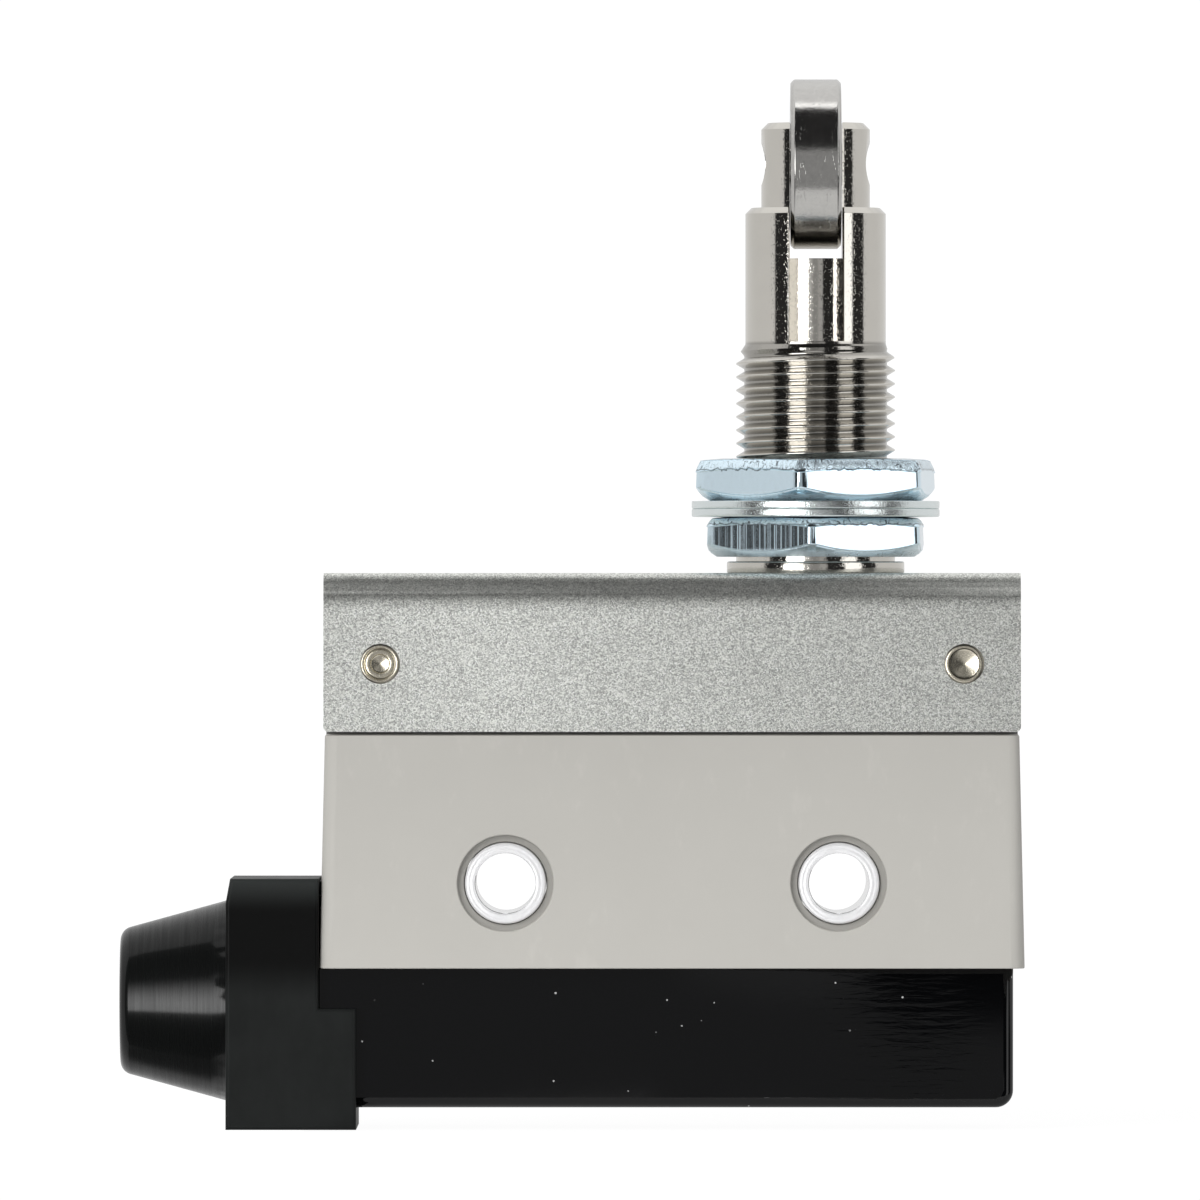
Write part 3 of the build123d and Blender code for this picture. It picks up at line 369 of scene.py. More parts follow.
def rubber_finish(g, place, colour):
    """Black rubber: matt on the block, lighter towards its bottom and along its top edge; shiny with fine lines on
    the cone.
    """
    x, _, z = g.axes(place)
    block_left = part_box("cable_boot")[0].x + 8.05 * MM
    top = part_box("cable_boot")[1].z
    cone = g.step(x, block_left + 0.05 * MM, block_left - 0.05 * MM)
    grain = g.noise(place, 5200.0, 3.0, 0.6)
    cloud = g.noise(place, 190.0, 4.0, 0.6)
    streaks = g.noise(g.stretched(place, (1.0, 1.0, 0.3)), 700.0, 4.0, 0.65)
    lines = g.noise(g.stretched(place, (1.0, 0.03, 0.03)), 5200.0, 3.0, 0.6)
    low = g.step(z, top - 6.0 * MM, top - 9.5 * MM)
    rim = g.step(z, top - 2.6 * MM, top + 0.2 * MM)
    # the block's colour: lighter towards its bottom and along its top edge
    block_tone = low * (0.3 + cloud * 0.65 + streaks * 0.4) + rim * 1.9 + 0.12
    level = block_tone * (1.0 - cone) + cone * 0.3
    return {
        "Base Color": g.tinted(colour, level),
        "Roughness": (1.0 - cone) * (0.34 + cloud * 0.16) + cone * (0.22 + lines * 0.1),
        "Specular IOR Level": 0.1,
        "Coat Weight": cone * (0.06 + lines * 0.56),
        "Coat Roughness": 0.1,
        "Normal": g.bump(grain * 0.5 + lines * cone * 1.6, 0.012 * MM, 0.6),
    }


def turned_metal(g, place, colour, roughness, pits, shade_and_dull):
    """Turned and plated metal, with faint turning marks around the axis and small raised specks."""
    turning = g.noise(g.stretched(place, (0.02, 0.02, 1.0)), 9000.0, 2.0, 0.5)
    waver = g.noise(place, 600.0, 2.0, 0.5)
    speck = g.step(g.noise(place, 6000.0, 2.0, 0.55), 0.54, 0.74)
    return {
        # the last argument darkens the colour as painted shade and makes the surface duller
        "Base Color": g.tinted(colour, (0.96 + waver * 0.06) * (1.0 - shade_and_dull)),
        "Metallic": 1.0,
        "Roughness": roughness + turning * 0.04 + shade_and_dull * 0.12,
        "Normal": g.bump(turning * 0.3 + waver + speck * pits, 0.004 * MM, 0.8),
    }


def nickel_finish(g, place, colour):
    """Nickel on the barrel and the plunger, darker and duller towards the thread's roots: the darkening is painted
    shade in the grooves, the dullness a rougher surface.
    """
    sizes = bpy.context.scene.barrel_sizes
    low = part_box("upper_hex_nut")[0].z
    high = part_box("threaded_barrel")[1].z - sizes.collar_length + 0.3 * MM
    x, y, z = g.axes(place)
    crest = sizes.thread_dia / 2
    reach = off_axis(x - middle("threaded_barrel").x, y)
    deep = g.step(reach, crest + 0.05 * MM, crest - 0.5 * MM)
    # painted shade deep in the thread's grooves, with duller plating there
    shade_and_dull = deep * g.step(z, low, low + 0.1 * MM) * g.step(z, high, high - 0.3 * MM) * 0.42
    return turned_metal(g, place, colour, 0.045, 1.2, shade_and_dull)


def rivet_finish(g, place, colour):
    """Yellower plating on the rivets, with painted shade in the rings round their rims."""
    rivet = middle("cover_rivet_right")
    x, _, z = g.axes(place)
    reach = off_axis(x.maths("ABSOLUTE") - rivet.x, z - rivet.z)
    groove = g.window(reach, 1.10 * MM, 1.16 * MM, 0.02 * MM)
    edge = g.step(reach, 1.36 * MM, 1.40 * MM)
    # painted shade in the groove and round the outer edge where the rivet meets the cover
    rim_shade = (groove + edge).maths("MINIMUM", 1.0) * 0.7
    return turned_metal(g, place, colour, 0.19, 1.0, rim_shade)


def zinc_finish(g, place, colour):
    """Plain bright zinc on the washers: a lightly crystalline surface."""
    grain = g.noise(place, 4200.0, 4.0, 0.7)
    cloud = g.noise(place, 260.0, 2.0, 0.5)
    return {
        "Base Color": g.tinted(colour, 0.92 + cloud * 0.14),
        "Metallic": 1.0,
        "Roughness": 0.14 + grain * 0.12,
        "Normal": g.bump(grain, 0.03 * MM, 0.7),
    }


def nut_finish(g, place, colour, axis_x, low, top, band, ribs):
    """Bluish zinc on a pressed nut: torn along its upper edge, with painted shade in the tears and along the torn
    band's lower edge, ribbed on one side where it was cut and darkened a little there as painted shade.
    """
    x, _, z = g.axes(place)
    grain = g.noise(place, 1800.0, 3.0, 0.6)
    edge_waver = g.noise(g.stretched(place, (1.0, 1.0, 0.3)), 1500.0, 3.0, 0.6) - 0.5
    wavy = z + edge_waver * (0.65 * MM)
    on_top = g.step(z, top - 0.09 * MM, top - 0.03 * MM)
    torn = g.step(wavy, top - band - 0.16 * MM, top - band + 0.02 * MM) * (1.0 - on_top * 0.9)
    tears = g.noise(g.stretched(place, (1.0, 1.0, 0.4)), 3600.0, 3.0, 0.65, 0.6)
    # a painted shade line along the torn band's lower edge
    lip = torn * (1.0 - torn) * (1.0 - on_top) * 2.8
    # painted shade in the tears' hollows
    crack_shade = (g.step(tears, 0.43, 0.37) * torn + lip).maths("MINIMUM", 1.0)
    cut = g.noise(g.stretched(place, (1.0, 0.0, 0.01)), 3600.0, 1.0, 0.5)
    # the cut side: ribbed and rougher, and darkened a little as painted shade
    cut_and_shaded_side = g.step(x, axis_x + 0.1 * MM, axis_x - 0.5 * MM) * (1.0 - torn) * ribs
    under = g.step(z, low + 0.7 * MM, low + 0.3 * MM)
    height = grain * 0.1 + torn * tears * 1.1 + cut_and_shaded_side * cut * 1.1
    return {
        "Base Color": g.tinted(colour, (0.94 + grain * 0.1 - cut_and_shaded_side * 0.12) * (1.0 - crack_shade * 0.8)),
        "Metallic": 1.0 - torn * 0.2 - under * 0.4,
        "Roughness": 0.10 + grain * 0.06 + torn * 0.08 + under * 0.15 + cut_and_shaded_side * 0.05,
        "Normal": g.bump(height, 0.06 * MM, 0.8),
    }


def steel_finish(g, place, colour):
    """Turned and tumbled steel, with lines around its rim and a few scratches."""
    lines = g.noise(g.stretched(place, (1.0, 0.03, 0.03)), 6000.0, 3.0, 0.6)
    blotch = g.noise(place, 1500.0, 5.0, 0.7)
    mottle = g.noise(place, 5200.0, 2.0, 0.6)
    scratch = g.step(g.noise(g.stretched(place, (2.2, 0.6, 0.35)), 1500.0, 3.0, 0.6, 1.5), 0.64, 0.68)
    return {
        "Base Color": g.tinted(colour, 0.78 + blotch * 0.24 + mottle * 0.2 + scratch * 0.12),
        "Metallic": 1.0,
        "Roughness": 0.09 + lines * 0.03 + blotch * 0.11 + scratch * 0.1,
        "Normal": g.bump(lines * 0.3 + blotch * 2.0 + scratch * 0.4, 0.008 * MM, 0.8),
    }


def eyelet_finish(g, place, colour):
    """Bright drawn tube: matt on its rolled face, smooth in its bore."""
    spread = middle("mounting_eyelet_right").x
    bore = bpy.context.scene.case_sizes.hole_dia / 2
    x, _, z = g.axes(place)
    reach = off_axis(x.maths("ABSOLUTE") - spread, z)
    inside = g.step(reach, bore + 0.06 * MM, bore + 0.02 * MM)
    drawn = g.noise(g.stretched(place, (1.0, 0.05, 1.0)), 2200.0, 3.0, 0.6)
    return {
        "Base Color": g.tinted(colour, 0.88 + drawn * 0.2 + inside * 0.1),
        "Metallic": 0.4 + inside * 0.6,
        "Roughness": (0.30 + drawn * 0.2) * (1.0 - inside) + inside * 0.06,
        "Normal": g.bump(drawn, 0.012 * MM, 0.6),
    }


def plain_finish(g, place, colour, metallic, roughness, scale):
    """A finish for the pieces inside: one colour, broken up by fine marks."""
    marks = g.noise(place, scale, 3.0, 0.6)
    return {
        "Base Color": g.tinted(colour, 0.85 + marks * 0.3),
        "Metallic": metallic,
        "Roughness": roughness + marks * 0.12,
        "Normal": g.bump(marks, 0.005 * MM, 0.5),
    }


INNER_FINISHES = {
    "dark_rubber": ((0.012, 0.012, 0.012), 0.0, 0.5, 3000.0),
    "spring_steel": ((0.45, 0.45, 0.46), 1.0, 0.25, 4000.0),
    "button_moulding": ((0.35, 0.03, 0.02), 0.0, 0.25, 2500.0),
    "base_moulding": ((0.02, 0.02, 0.022), 0.0, 0.4, 2500.0),
    "contact_copper": ((0.7, 0.38, 0.22), 1.0, 0.25, 3500.0),
    "contact_silver": ((0.86, 0.85, 0.82), 1.0, 0.2, 3500.0),
    "terminal_brass": ((0.75, 0.52, 0.2), 1.0, 0.25, 3500.0),
}

OUTER_FINISHES = {
    "case_moulding": (case_finish, "case"),
    "sheet_paint": (paint_finish, "paint"),
    "black_moulding": (black_finish, "black"),
    "boot_rubber": (rubber_finish, "rubber"),
    "barrel_nickel": (nickel_finish, "nickel"),
    "zinc_steel": (zinc_finish, "washer"),
    "roller_steel": (steel_finish, "steel"),
    "eyelet_metal": (eyelet_finish, "eyelet"),
    "rivet_nickel": (rivet_finish, "rivet"),
}


def finish_of(slot):
    """The material of a record's slot, made once."""
    key = "finish_" + slot
    if key not in bpy.data.materials:
        if slot in OUTER_FINISHES:
            build, colour = OUTER_FINISHES[slot]
            new_finish(key, build, getattr(bpy.context.scene.switch_colours, colour))
        else:
            new_finish(key, plain_finish, *INNER_FINISHES[slot])
    return bpy.data.materials[key]


def measured(node):
    """The middle of a node's box, and half its size each way."""
    low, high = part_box(node)
    return (low + high) / 2, (high - low) / 2


def middle(node):
    return measured(node)[0]


def groove_for(node, centre, gap):
    """Where the groove for a ring begins and ends, above the middle of the piece that holds it."""
    low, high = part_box(node)
    return low.z - centre.z - gap, high.z - centre.z + gap


def both_ends(end):
    """A whole outline, from its half above the middle."""
    return end + [(radius, -along) for radius, along in reversed(end)]


def turned(outline, centre, axis, steps=128):
    """A solid of revolution. The outline's points are (distance from the axis, place along it)."""
    bm = bmesh.new()
    out = DEEP if abs(axis.dot(DEEP)) < 0.5 else ACROSS
    points = [bm.verts.new(centre + out * radius + axis * along) for radius, along in outline]
    for first, second in zip(points, points[1:] + points[:1]):
        if not (on_axis(first, centre, axis) and on_axis(second, centre, axis)):
            bm.edges.new((first, second))
    line = bm.verts[:] + bm.edges[:]
    bmesh.ops.spin(bm, geom=line, cent=centre, axis=axis, angle=2 * pi, steps=steps, use_merge=True)
    bmesh.ops.remove_doubles(bm, verts=bm.verts, dist=MERGE)
    bmesh.ops.recalc_face_normals(bm, faces=bm.faces)
    return bm


def on_axis(vert, centre, axis):
    reach = vert.co - centre
    return (reach - axis * reach.dot(axis)).length < 0.0001 * MM


def set_reach(vert, centre, reach):
    """Moves a point level, in or out, to a distance from an upright axis."""
    share = reach / (vert.co - centre).xy.length
    vert.co.x = centre.x + (vert.co.x - centre.x) * share
    vert.co.y = centre.y + (vert.co.y - centre.y) * share


def soften(bm, width, sharper_than, keep=None):
    """Rounds the edges that turn by more than an angle."""
    edges = [
        edge
        for edge in bm.edges
        if len(edge.link_faces) == 2
        and edge.calc_face_angle(0.0) > radians(sharper_than)
        and (keep is None or keep(edge))
    ]
    bmesh.ops.bevel(
        bm,
        geom=edges,
        offset=width,
        offset_type="OFFSET",
        segments=2,
        profile=0.5,
        affect="EDGES",
        material=-1,
        clamp_overlap=True,
    )


def higher_than(height):
    return lambda edge: min(vert.co.z for vert in edge.verts) > height


def carve(bm, cutters):
    """Cuts each cutter from the mesh."""
    mesh = bpy.data.meshes.new("carved")
    bm.to_mesh(mesh)
    body = bpy.data.objects.new("carved", mesh)
    bpy.context.scene.collection.objects.link(body)
    tools = []
    for cutter in cutters:
        tool_mesh = bpy.data.meshes.new("cutter")
        cutter.to_mesh(tool_mesh)
        cutter.free()
        tool = bpy.data.objects.new("cutter", tool_mesh)
        bpy.context.scene.collection.objects.link(tool)
        cut = body.modifiers.new("cut", "BOOLEAN")
        cut.operation = "DIFFERENCE"
        cut.object = tool
        cut.solver = "EXACT"
        tools.append(tool)
    bpy.context.view_layer.update()
    depsgraph = bpy.context.evaluated_depsgraph_get()
    result = bpy.data.meshes.new_from_object(body.evaluated_get(depsgraph))
    bm.clear()
    bm.from_mesh(result)
    for thing in (*tools, body):
        bpy.data.objects.remove(thing)
    bpy.data.meshes.remove(result)
    bmesh.ops.remove_doubles(bm, verts=bm.verts, dist=MERGE)
    bmesh.ops.dissolve_degenerate(bm, dist=MERGE, edges=bm.edges)


def slot_cutter(centre, width, depth, top, reach):
    """A box that cuts a slot through a turned piece, from its top down."""
    bm = bmesh.new()
    bmesh.ops.create_cube(bm, size=1.0)
    bmesh.ops.scale(bm, vec=(width, 2 * reach, depth + reach), verts=bm.verts)
    bmesh.ops.translate(bm, vec=(centre.x, 0.0, top + (reach - depth) / 2), verts=bm.verts)
    return bm


def finish_piece(name, bm, slot, body, node, sharp, finish=None):
    """Makes the object that stands for a node, gives it its finish and lets it ride on its body."""
    mesh = bpy.data.meshes.new(name)
    bm.normal_update()
    bm.to_mesh(mesh)
    bm.free()
    mesh.shade_smooth()
    mesh.set_sharp_from_angle(angle=radians(sharp))
    mesh.materials.append(finish or finish_of(slot))
    piece = bpy.data.objects.new(name, mesh)
    bpy.context.scene.collection.objects.link(piece)
    flats = piece.modifiers.new("flats", "WEIGHTED_NORMAL")
    flats.keep_sharp = True
    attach(piece, body)
    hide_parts(node)
    return piece


class SWITCH_OT_finishes(Operator):
    """Gives every node of the frame its finish, and breaks the mouldings' edges"""

    bl_idname = "switch.finishes"
    bl_label = "Finishes"

    def execute(self, context):
        for entry in frame["record"]["subparts"]:
            node = frame["nodes"][entry["node"]]
            for holder in node.material_slots:
                holder.material = finish_of(entry["material_slot"])
        for name in ("housing", "top_cover", "terminal_cover", "cable_boot"):
            node = frame["nodes"][name]
            weld = node.modifiers.new("weld", "WELD")
            weld.merge_threshold = MERGE
            bevel = node.modifiers.new("edges", "BEVEL")
            bevel.width = context.scene.case_sizes.edge_width
            bevel.segments = 2
            bevel.limit_method = "ANGLE"
            bevel.angle_limit = radians(35)
            bevel.harden_normals = True
        return {"FINISHED"}


class SWITCH_OT_roller(Operator):
    """Turns the roller and its pin"""

    bl_idname = "switch.roller"
    bl_label = "Roller and pin"

    def execute(self, context):
        chamfer = context.scene.plunger_sizes.roller_chamfer
        centre, half = measured("roller")
        pin_centre, pin_half = measured("roller_pin")
        radius = half.z
        bore = pin_half.z + 0.03 * MM
        sunk = half.x - 0.12 * MM
        end = [
            (bore, half.x - chamfer / 2),
            (bore + chamfer / 2, half.x),
            (radius * 0.62, half.x),
            (radius * 0.66, sunk),
            (radius * 0.80, sunk),
            (radius * 0.84, half.x),
            (radius - chamfer, half.x),
            (radius, half.x - chamfer),
        ]
        bm = turned(both_ends(end), centre, ACROSS, 160)
        soften(bm, 0.05 * MM, 20.0)
        finish_piece("roller_turned", bm, "roller_steel", "roller_wheel", "roller", 30.0)

        broken = 0.2 * MM
        dimple = pin_half.z * 0.45
        end = [
            (0.0, pin_half.x - 0.35 * MM),
            (dimple, pin_half.x),
            (pin_half.z - broken, pin_half.x),
            (pin_half.z, pin_half.x - broken),
        ]
        bm = turned(both_ends(end), pin_centre, ACROSS, 48)
        soften(bm, 0.04 * MM, 20.0)
        finish_piece("roller_pin_turned", bm, "roller_steel", "plunger", "roller_pin", 30.0)
        return {"FINISHED"}


class SWITCH_OT_plunger(Operator):
    """Turns the plunger, cuts its fork and drills it for the pin"""

    bl_idname = "switch.plunger"
    bl_label = "Plunger"

    def execute(self, context):
        sizes = context.scene.plunger_sizes
        centre, half = measured("roller_plunger")
        pin_centre, pin_half = measured("roller_pin")
        top = half.z
        bottom = -half.z
        step = top - sizes.step_below_top
        radius = sizes.dia / 2
        stem = sizes.stem_dia / 2
        chamfer = 0.5 * MM
        groove_low, groove_high = groove_for("plunger_seal_ring", centre, 0.12 * MM)
        ring_low, ring_high = groove_for("retaining_ring", centre, 0.05 * MM)
        hollow = measured("overtravel_spring")[1].x + 0.1 * MM
        hollow_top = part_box("overtravel_spring")[1].z - centre.z + 0.02 * MM
        outline = [
            (hollow - 0.5 * MM, bottom),
            (stem, bottom),
            (stem, ring_low),
            (stem - 0.3 * MM, ring_low),
            (stem - 0.3 * MM, ring_high),
            (stem, ring_high),
            (stem, step),
            (radius, step),
            (radius, groove_low),
            (radius - 1.1 * MM, groove_low),
            (radius - 1.1 * MM, groove_high),
            (radius, groove_high),
            (radius, top - chamfer),
            (radius - chamfer, top),
            (0.0, top),
            (0.0, hollow_top),
            (hollow, hollow_top),
            (hollow, bottom + 0.7 * MM),
            (hollow - 0.5 * MM, bottom + 0.7 * MM),
        ]
        bm = turned(outline, centre, UP, 128)
        reach = 2 * radius
        crown = centre.z + top
        fork = slot_cutter(centre, sizes.fork_width, sizes.fork_depth, crown, reach)
        hole = pin_half.z + 0.05 * MM
        drill = turned(both_ends([(0.0, reach), (hole, reach)]), pin_centre, ACROSS, 64)
        carve(bm, [fork, drill])
        soften(bm, 0.1 * MM, 25.0, higher_than(crown - sizes.fork_depth - 0.5 * MM))
        finish_piece("plunger_turned", bm, "barrel_nickel", "plunger", "roller_plunger", 35.0)
        return {"FINISHED"}


class SWITCH_OT_barrel(Operator):
    """Turns the barrel, cuts its slot and its screw thread"""

    bl_idname = "switch.barrel"
    bl_label = "Barrel"

    def execute(self, context):
        sizes = context.scene.barrel_sizes
        centre, half = measured("threaded_barrel")
        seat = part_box("top_cover")[1].z - centre.z
        nut_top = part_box("upper_hex_nut")[1].z - centre.z
        bottom = -half.z
        top = half.z
        thread_top = top - sizes.collar_length
        flange_top = seat + sizes.flange_height
        flange = half.x
        tail = sizes.tail_dia / 2
        bore = sizes.bore_dia / 2
        collar = sizes.collar_dia / 2
        crest = sizes.thread_dia / 2
        core = crest - 0.66 * sizes.thread_pitch
        floor_top = bottom + sizes.floor_height
        hidden = nut_top - 1.2 * MM
        ring_low, ring_high = groove_for("barrel_retaining_ring", centre, 0.05 * MM)
        chamfer = 0.45 * MM
        outline = [
            (sizes.floor_bore_dia / 2, bottom),
            (tail, bottom),
            (tail, ring_low),
            (tail - 0.6 * MM, ring_low),
            (tail - 0.6 * MM, ring_high),
            (tail, ring_high),
            (tail, seat),
            (flange, seat),
            (flange, flange_top),
            (crest, flange_top),
            (crest, hidden),
            (core, hidden),
            (core, thread_top - 0.3 * MM),
            (collar, thread_top + 0.1 * MM),
            (collar, top - chamfer),
            (collar - chamfer, top),
            (bore, top),
            (bore, floor_top),
            (sizes.floor_bore_dia / 2, floor_top),
        ]
        bm = turned(outline, centre, UP, 144)
        carve(bm, [slot_cutter(centre, sizes.slot_width, sizes.slot_depth, centre.z + top, 2 * flange)])
        soften(bm, 0.09 * MM, 25.0, higher_than(centre.z + thread_top + 0.2 * MM))
        low = centre.z + seat - 0.1 * MM
        high = centre.z + flange_top + 0.1 * MM
        soften(
            bm,
            0.12 * MM,
            40.0,
            lambda edge: all(low < vert.co.z < high for vert in edge.verts)
            and (edge.verts[0].co - centre).xy.length > flange - 0.1 * MM,
        )
        low = centre.z + hidden + 0.2 * MM
        high = centre.z + thread_top
        thread = self.thread(centre, crest, sizes.thread_pitch, low, high, core - 0.3 * MM)
        joined = bpy.data.meshes.new("thread")
        thread.to_mesh(joined)
        thread.free()
        bm.from_mesh(joined)
        bpy.data.meshes.remove(joined)
        finish_piece("barrel_turned", bm, "barrel_nickel", "case", "threaded_barrel", 50.0)
        return {"FINISHED"}

    def thread(self, centre, crest, pitch, low, high, inner):
        """A right-handed screw thread as a closed ring between two heights."""
        root = crest - 0.6134 * pitch
        steps_per_turn = 72
        turns = int((high - low) / pitch) + 3
        phase = 0.15 * MM
        start = low - pitch + phase
        outline = [
            (root, 0.0),
            (root, 0.05),
            (root + 0.03 * pitch, 0.113),
            (crest - 0.04 * pitch, 0.427),
            (crest, 0.47),
            (crest, 0.53),
            (crest - 0.04 * pitch, 0.573),
            (root + 0.03 * pitch, 0.887),
            (root, 0.95),
            (root, 1.0),
        ]
        bm = bmesh.new()
        base = Vector((centre.x, centre.y, start))
        points = [
            bm.verts.new(base + ACROSS * radius + UP * (share * pitch)) for radius, share in outline
        ]
        for first, second in zip(points, points[1:]):
            bm.edges.new((first, second))
        bmesh.ops.spin(
            bm,
            geom=bm.verts[:] + bm.edges[:],
            cent=base,
            axis=UP,
            dvec=UP * (pitch / steps_per_turn),
            angle=2 * pi * turns,
            steps=steps_per_turn * turns,
            use_merge=False,
        )
        bmesh.ops.remove_doubles(bm, verts=bm.verts, dist=0.002 * MM)
        for height, way in ((low, -1), (high, 1)):
            bmesh.ops.bisect_plane(
                bm,
                geom=bm.verts[:] + bm.edges[:] + bm.faces[:],
                dist=0.0001 * MM,
                plane_co=(0, 0, height),
                plane_no=UP * way,
                clear_outer=True,
            )
        runout = 1.05 * MM
        runout_slope = 0.66
        for vert in bm.verts:
            limit = crest - max(0.0, runout - (high - vert.co.z)) * runout_slope
            if (vert.co - centre).xy.length > limit:
                set_reach(vert, centre, limit)
        rims = []
        for height in (low, high):
            rim = [
                edge
                for edge in bm.edges
                if edge.is_boundary and all(abs(vert.co.z - height) < 0.001 * MM for vert in edge.verts)
            ]
            grown = bmesh.ops.extrude_edge_only(bm, edges=rim)["geom"]
            verts = [item for item in grown if isinstance(item, bmesh.types.BMVert)]
            for vert in verts:
                set_reach(vert, centre, inner)
            rims += [
                item
                for item in grown
                if isinstance(item, bmesh.types.BMEdge) and all(vert in verts for vert in item.verts)
            ]
        bmesh.ops.bridge_loops(bm, edges=rims)
        bmesh.ops.recalc_face_normals(bm, faces=bm.faces)
        return bm


class SWITCH_OT_nuts(Operator):
    """Makes the two hexagon nuts and the two washers between them"""

    bl_idname = "switch.nuts"
    bl_label = "Nuts and washers"

    def execute(self, context):
        sizes = context.scene.barrel_sizes
        colour = context.scene.switch_colours.nut
        bore = sizes.thread_dia / 2 + 0.05 * MM
        for node, flats, turn, band, ribs in (
            ("lower_hex_nut", 16.0 * MM, sizes.lower_nut_turn, 0.5 * MM, 1.0),
            ("upper_hex_nut", 17.0 * MM, sizes.upper_nut_turn, 0.78 * MM, 0.0),
        ):
            bm = self.hexagon(node, flats / 2, turn, bore, band)
            low, top = (corner.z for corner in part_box(node))
            details = (middle(node).x, low, top, band, ribs)
            finish = new_finish(node + "_zinc", nut_finish, colour, *details)
            finish_piece(node + "_pressed", bm, "zinc_steel", "case", node, 32.0, finish)
        for node in ("lower_panel_washer", "upper_panel_washer"):
            centre, half = measured(node)
            radius = half.x
            edge = 0.09 * MM
            inner = bore + 0.2 * MM
            outline = [
                (inner, -half.z + edge / 2),
                (inner + edge / 2, -half.z),
                (radius - edge, -half.z),
                (radius, -half.z + edge),
                (radius, half.z - edge / 2),
                (radius - edge / 2, half.z),
                (inner + edge, half.z),
                (inner, half.z - edge),
            ]
            bm = turned(outline, centre, UP, 144)
            soften(bm, 0.03 * MM, 20.0)
            finish_piece(node + "_pressed", bm, "zinc_steel", "case", node, 30.0)
        return {"FINISHED"}

    def hexagon(self, node, across, turn, bore, band):
        """A pressed nut. Its rings are drawn out from circles to a hexagon with rounded corners."""
        centre, size = measured(node)
        half = size.z
        rounding = 0.7 * MM
        underside = tan(radians(26))
        band_drop = 0.22
        top_drop = 0.08
        # from this distance outwards the rings lie 1 mm apart, so each is known by its distance
        mark = 2 * across
        bearing = across - 0.55 * MM
        outline = [
            (bore, -half + 0.5 * MM),
            (bore + 0.5 * MM, -half),
            (bearing, -half),
            (mark, -half),
            (mark + 1 * MM, -half),
            (mark + 2 * MM, half - band),
            (mark + 3 * MM, half - band * 0.45),
            (mark + 4 * MM, half - 0.08 * MM),
            (across * 0.84, half),
            (bore + 0.5 * MM, half),
            (bore, half - 0.5 * MM),
        ]
        bm = turned(outline, centre, UP, 360)
        insets = (0.14 * MM, 0.0, 0.0, 0.10 * MM, 0.27 * MM)
        for vert in bm.verts:
            reach = vert.co - centre
            radius = reach.xy.length
            if radius < mark - 0.1 * MM:
                continue
            ring = round((radius - mark) / MM)
            angle = reach.xy.angle_signed(Vector((1, 0)))
            full = self.rim(across, rounding, angle - turn)
            set_reach(vert, centre, full - insets[ring])
            if ring < 2:
                vert.co.z = centre.z - half + (full - bearing) * underside + ring * 0.12 * MM
            elif ring < 4:
                vert.co.z -= (full - across) * band_drop
            else:
                vert.co.z -= (full - across) * top_drop
        soften(bm, 0.07 * MM, 22.0, lambda edge: self.runs_round(edge, centre, bearing))
        return bm

    def rim(self, across, rounding, angle):
        """Distance from the axis to a hexagon with rounded corners, where a corner lies at angle 0."""
        off_flat = abs((angle % (pi / 3)) - pi / 6)
        flat = across / cos(off_flat)
        corner_centre = (across - rounding) / cos(pi / 6)
        off_corner = pi / 6 - off_flat
        if across * tan(off_flat) <= (across - rounding) * tan(pi / 6):
            return flat
        aside = corner_centre * sin(off_corner)
        return corner_centre * cos(off_corner) + sqrt(rounding**2 - aside**2)

    def runs_round(self, edge, centre, bearing):
        """Picks the edges of the outer rings, which lie level or nearly so."""
        ends = [vert.co - centre for vert in edge.verts]
        if min(end.xy.length for end in ends) < bearing - 0.3 * MM:
            return False
        return abs(ends[0].z - ends[1].z) < 0.3 * (ends[0] - ends[1]).length


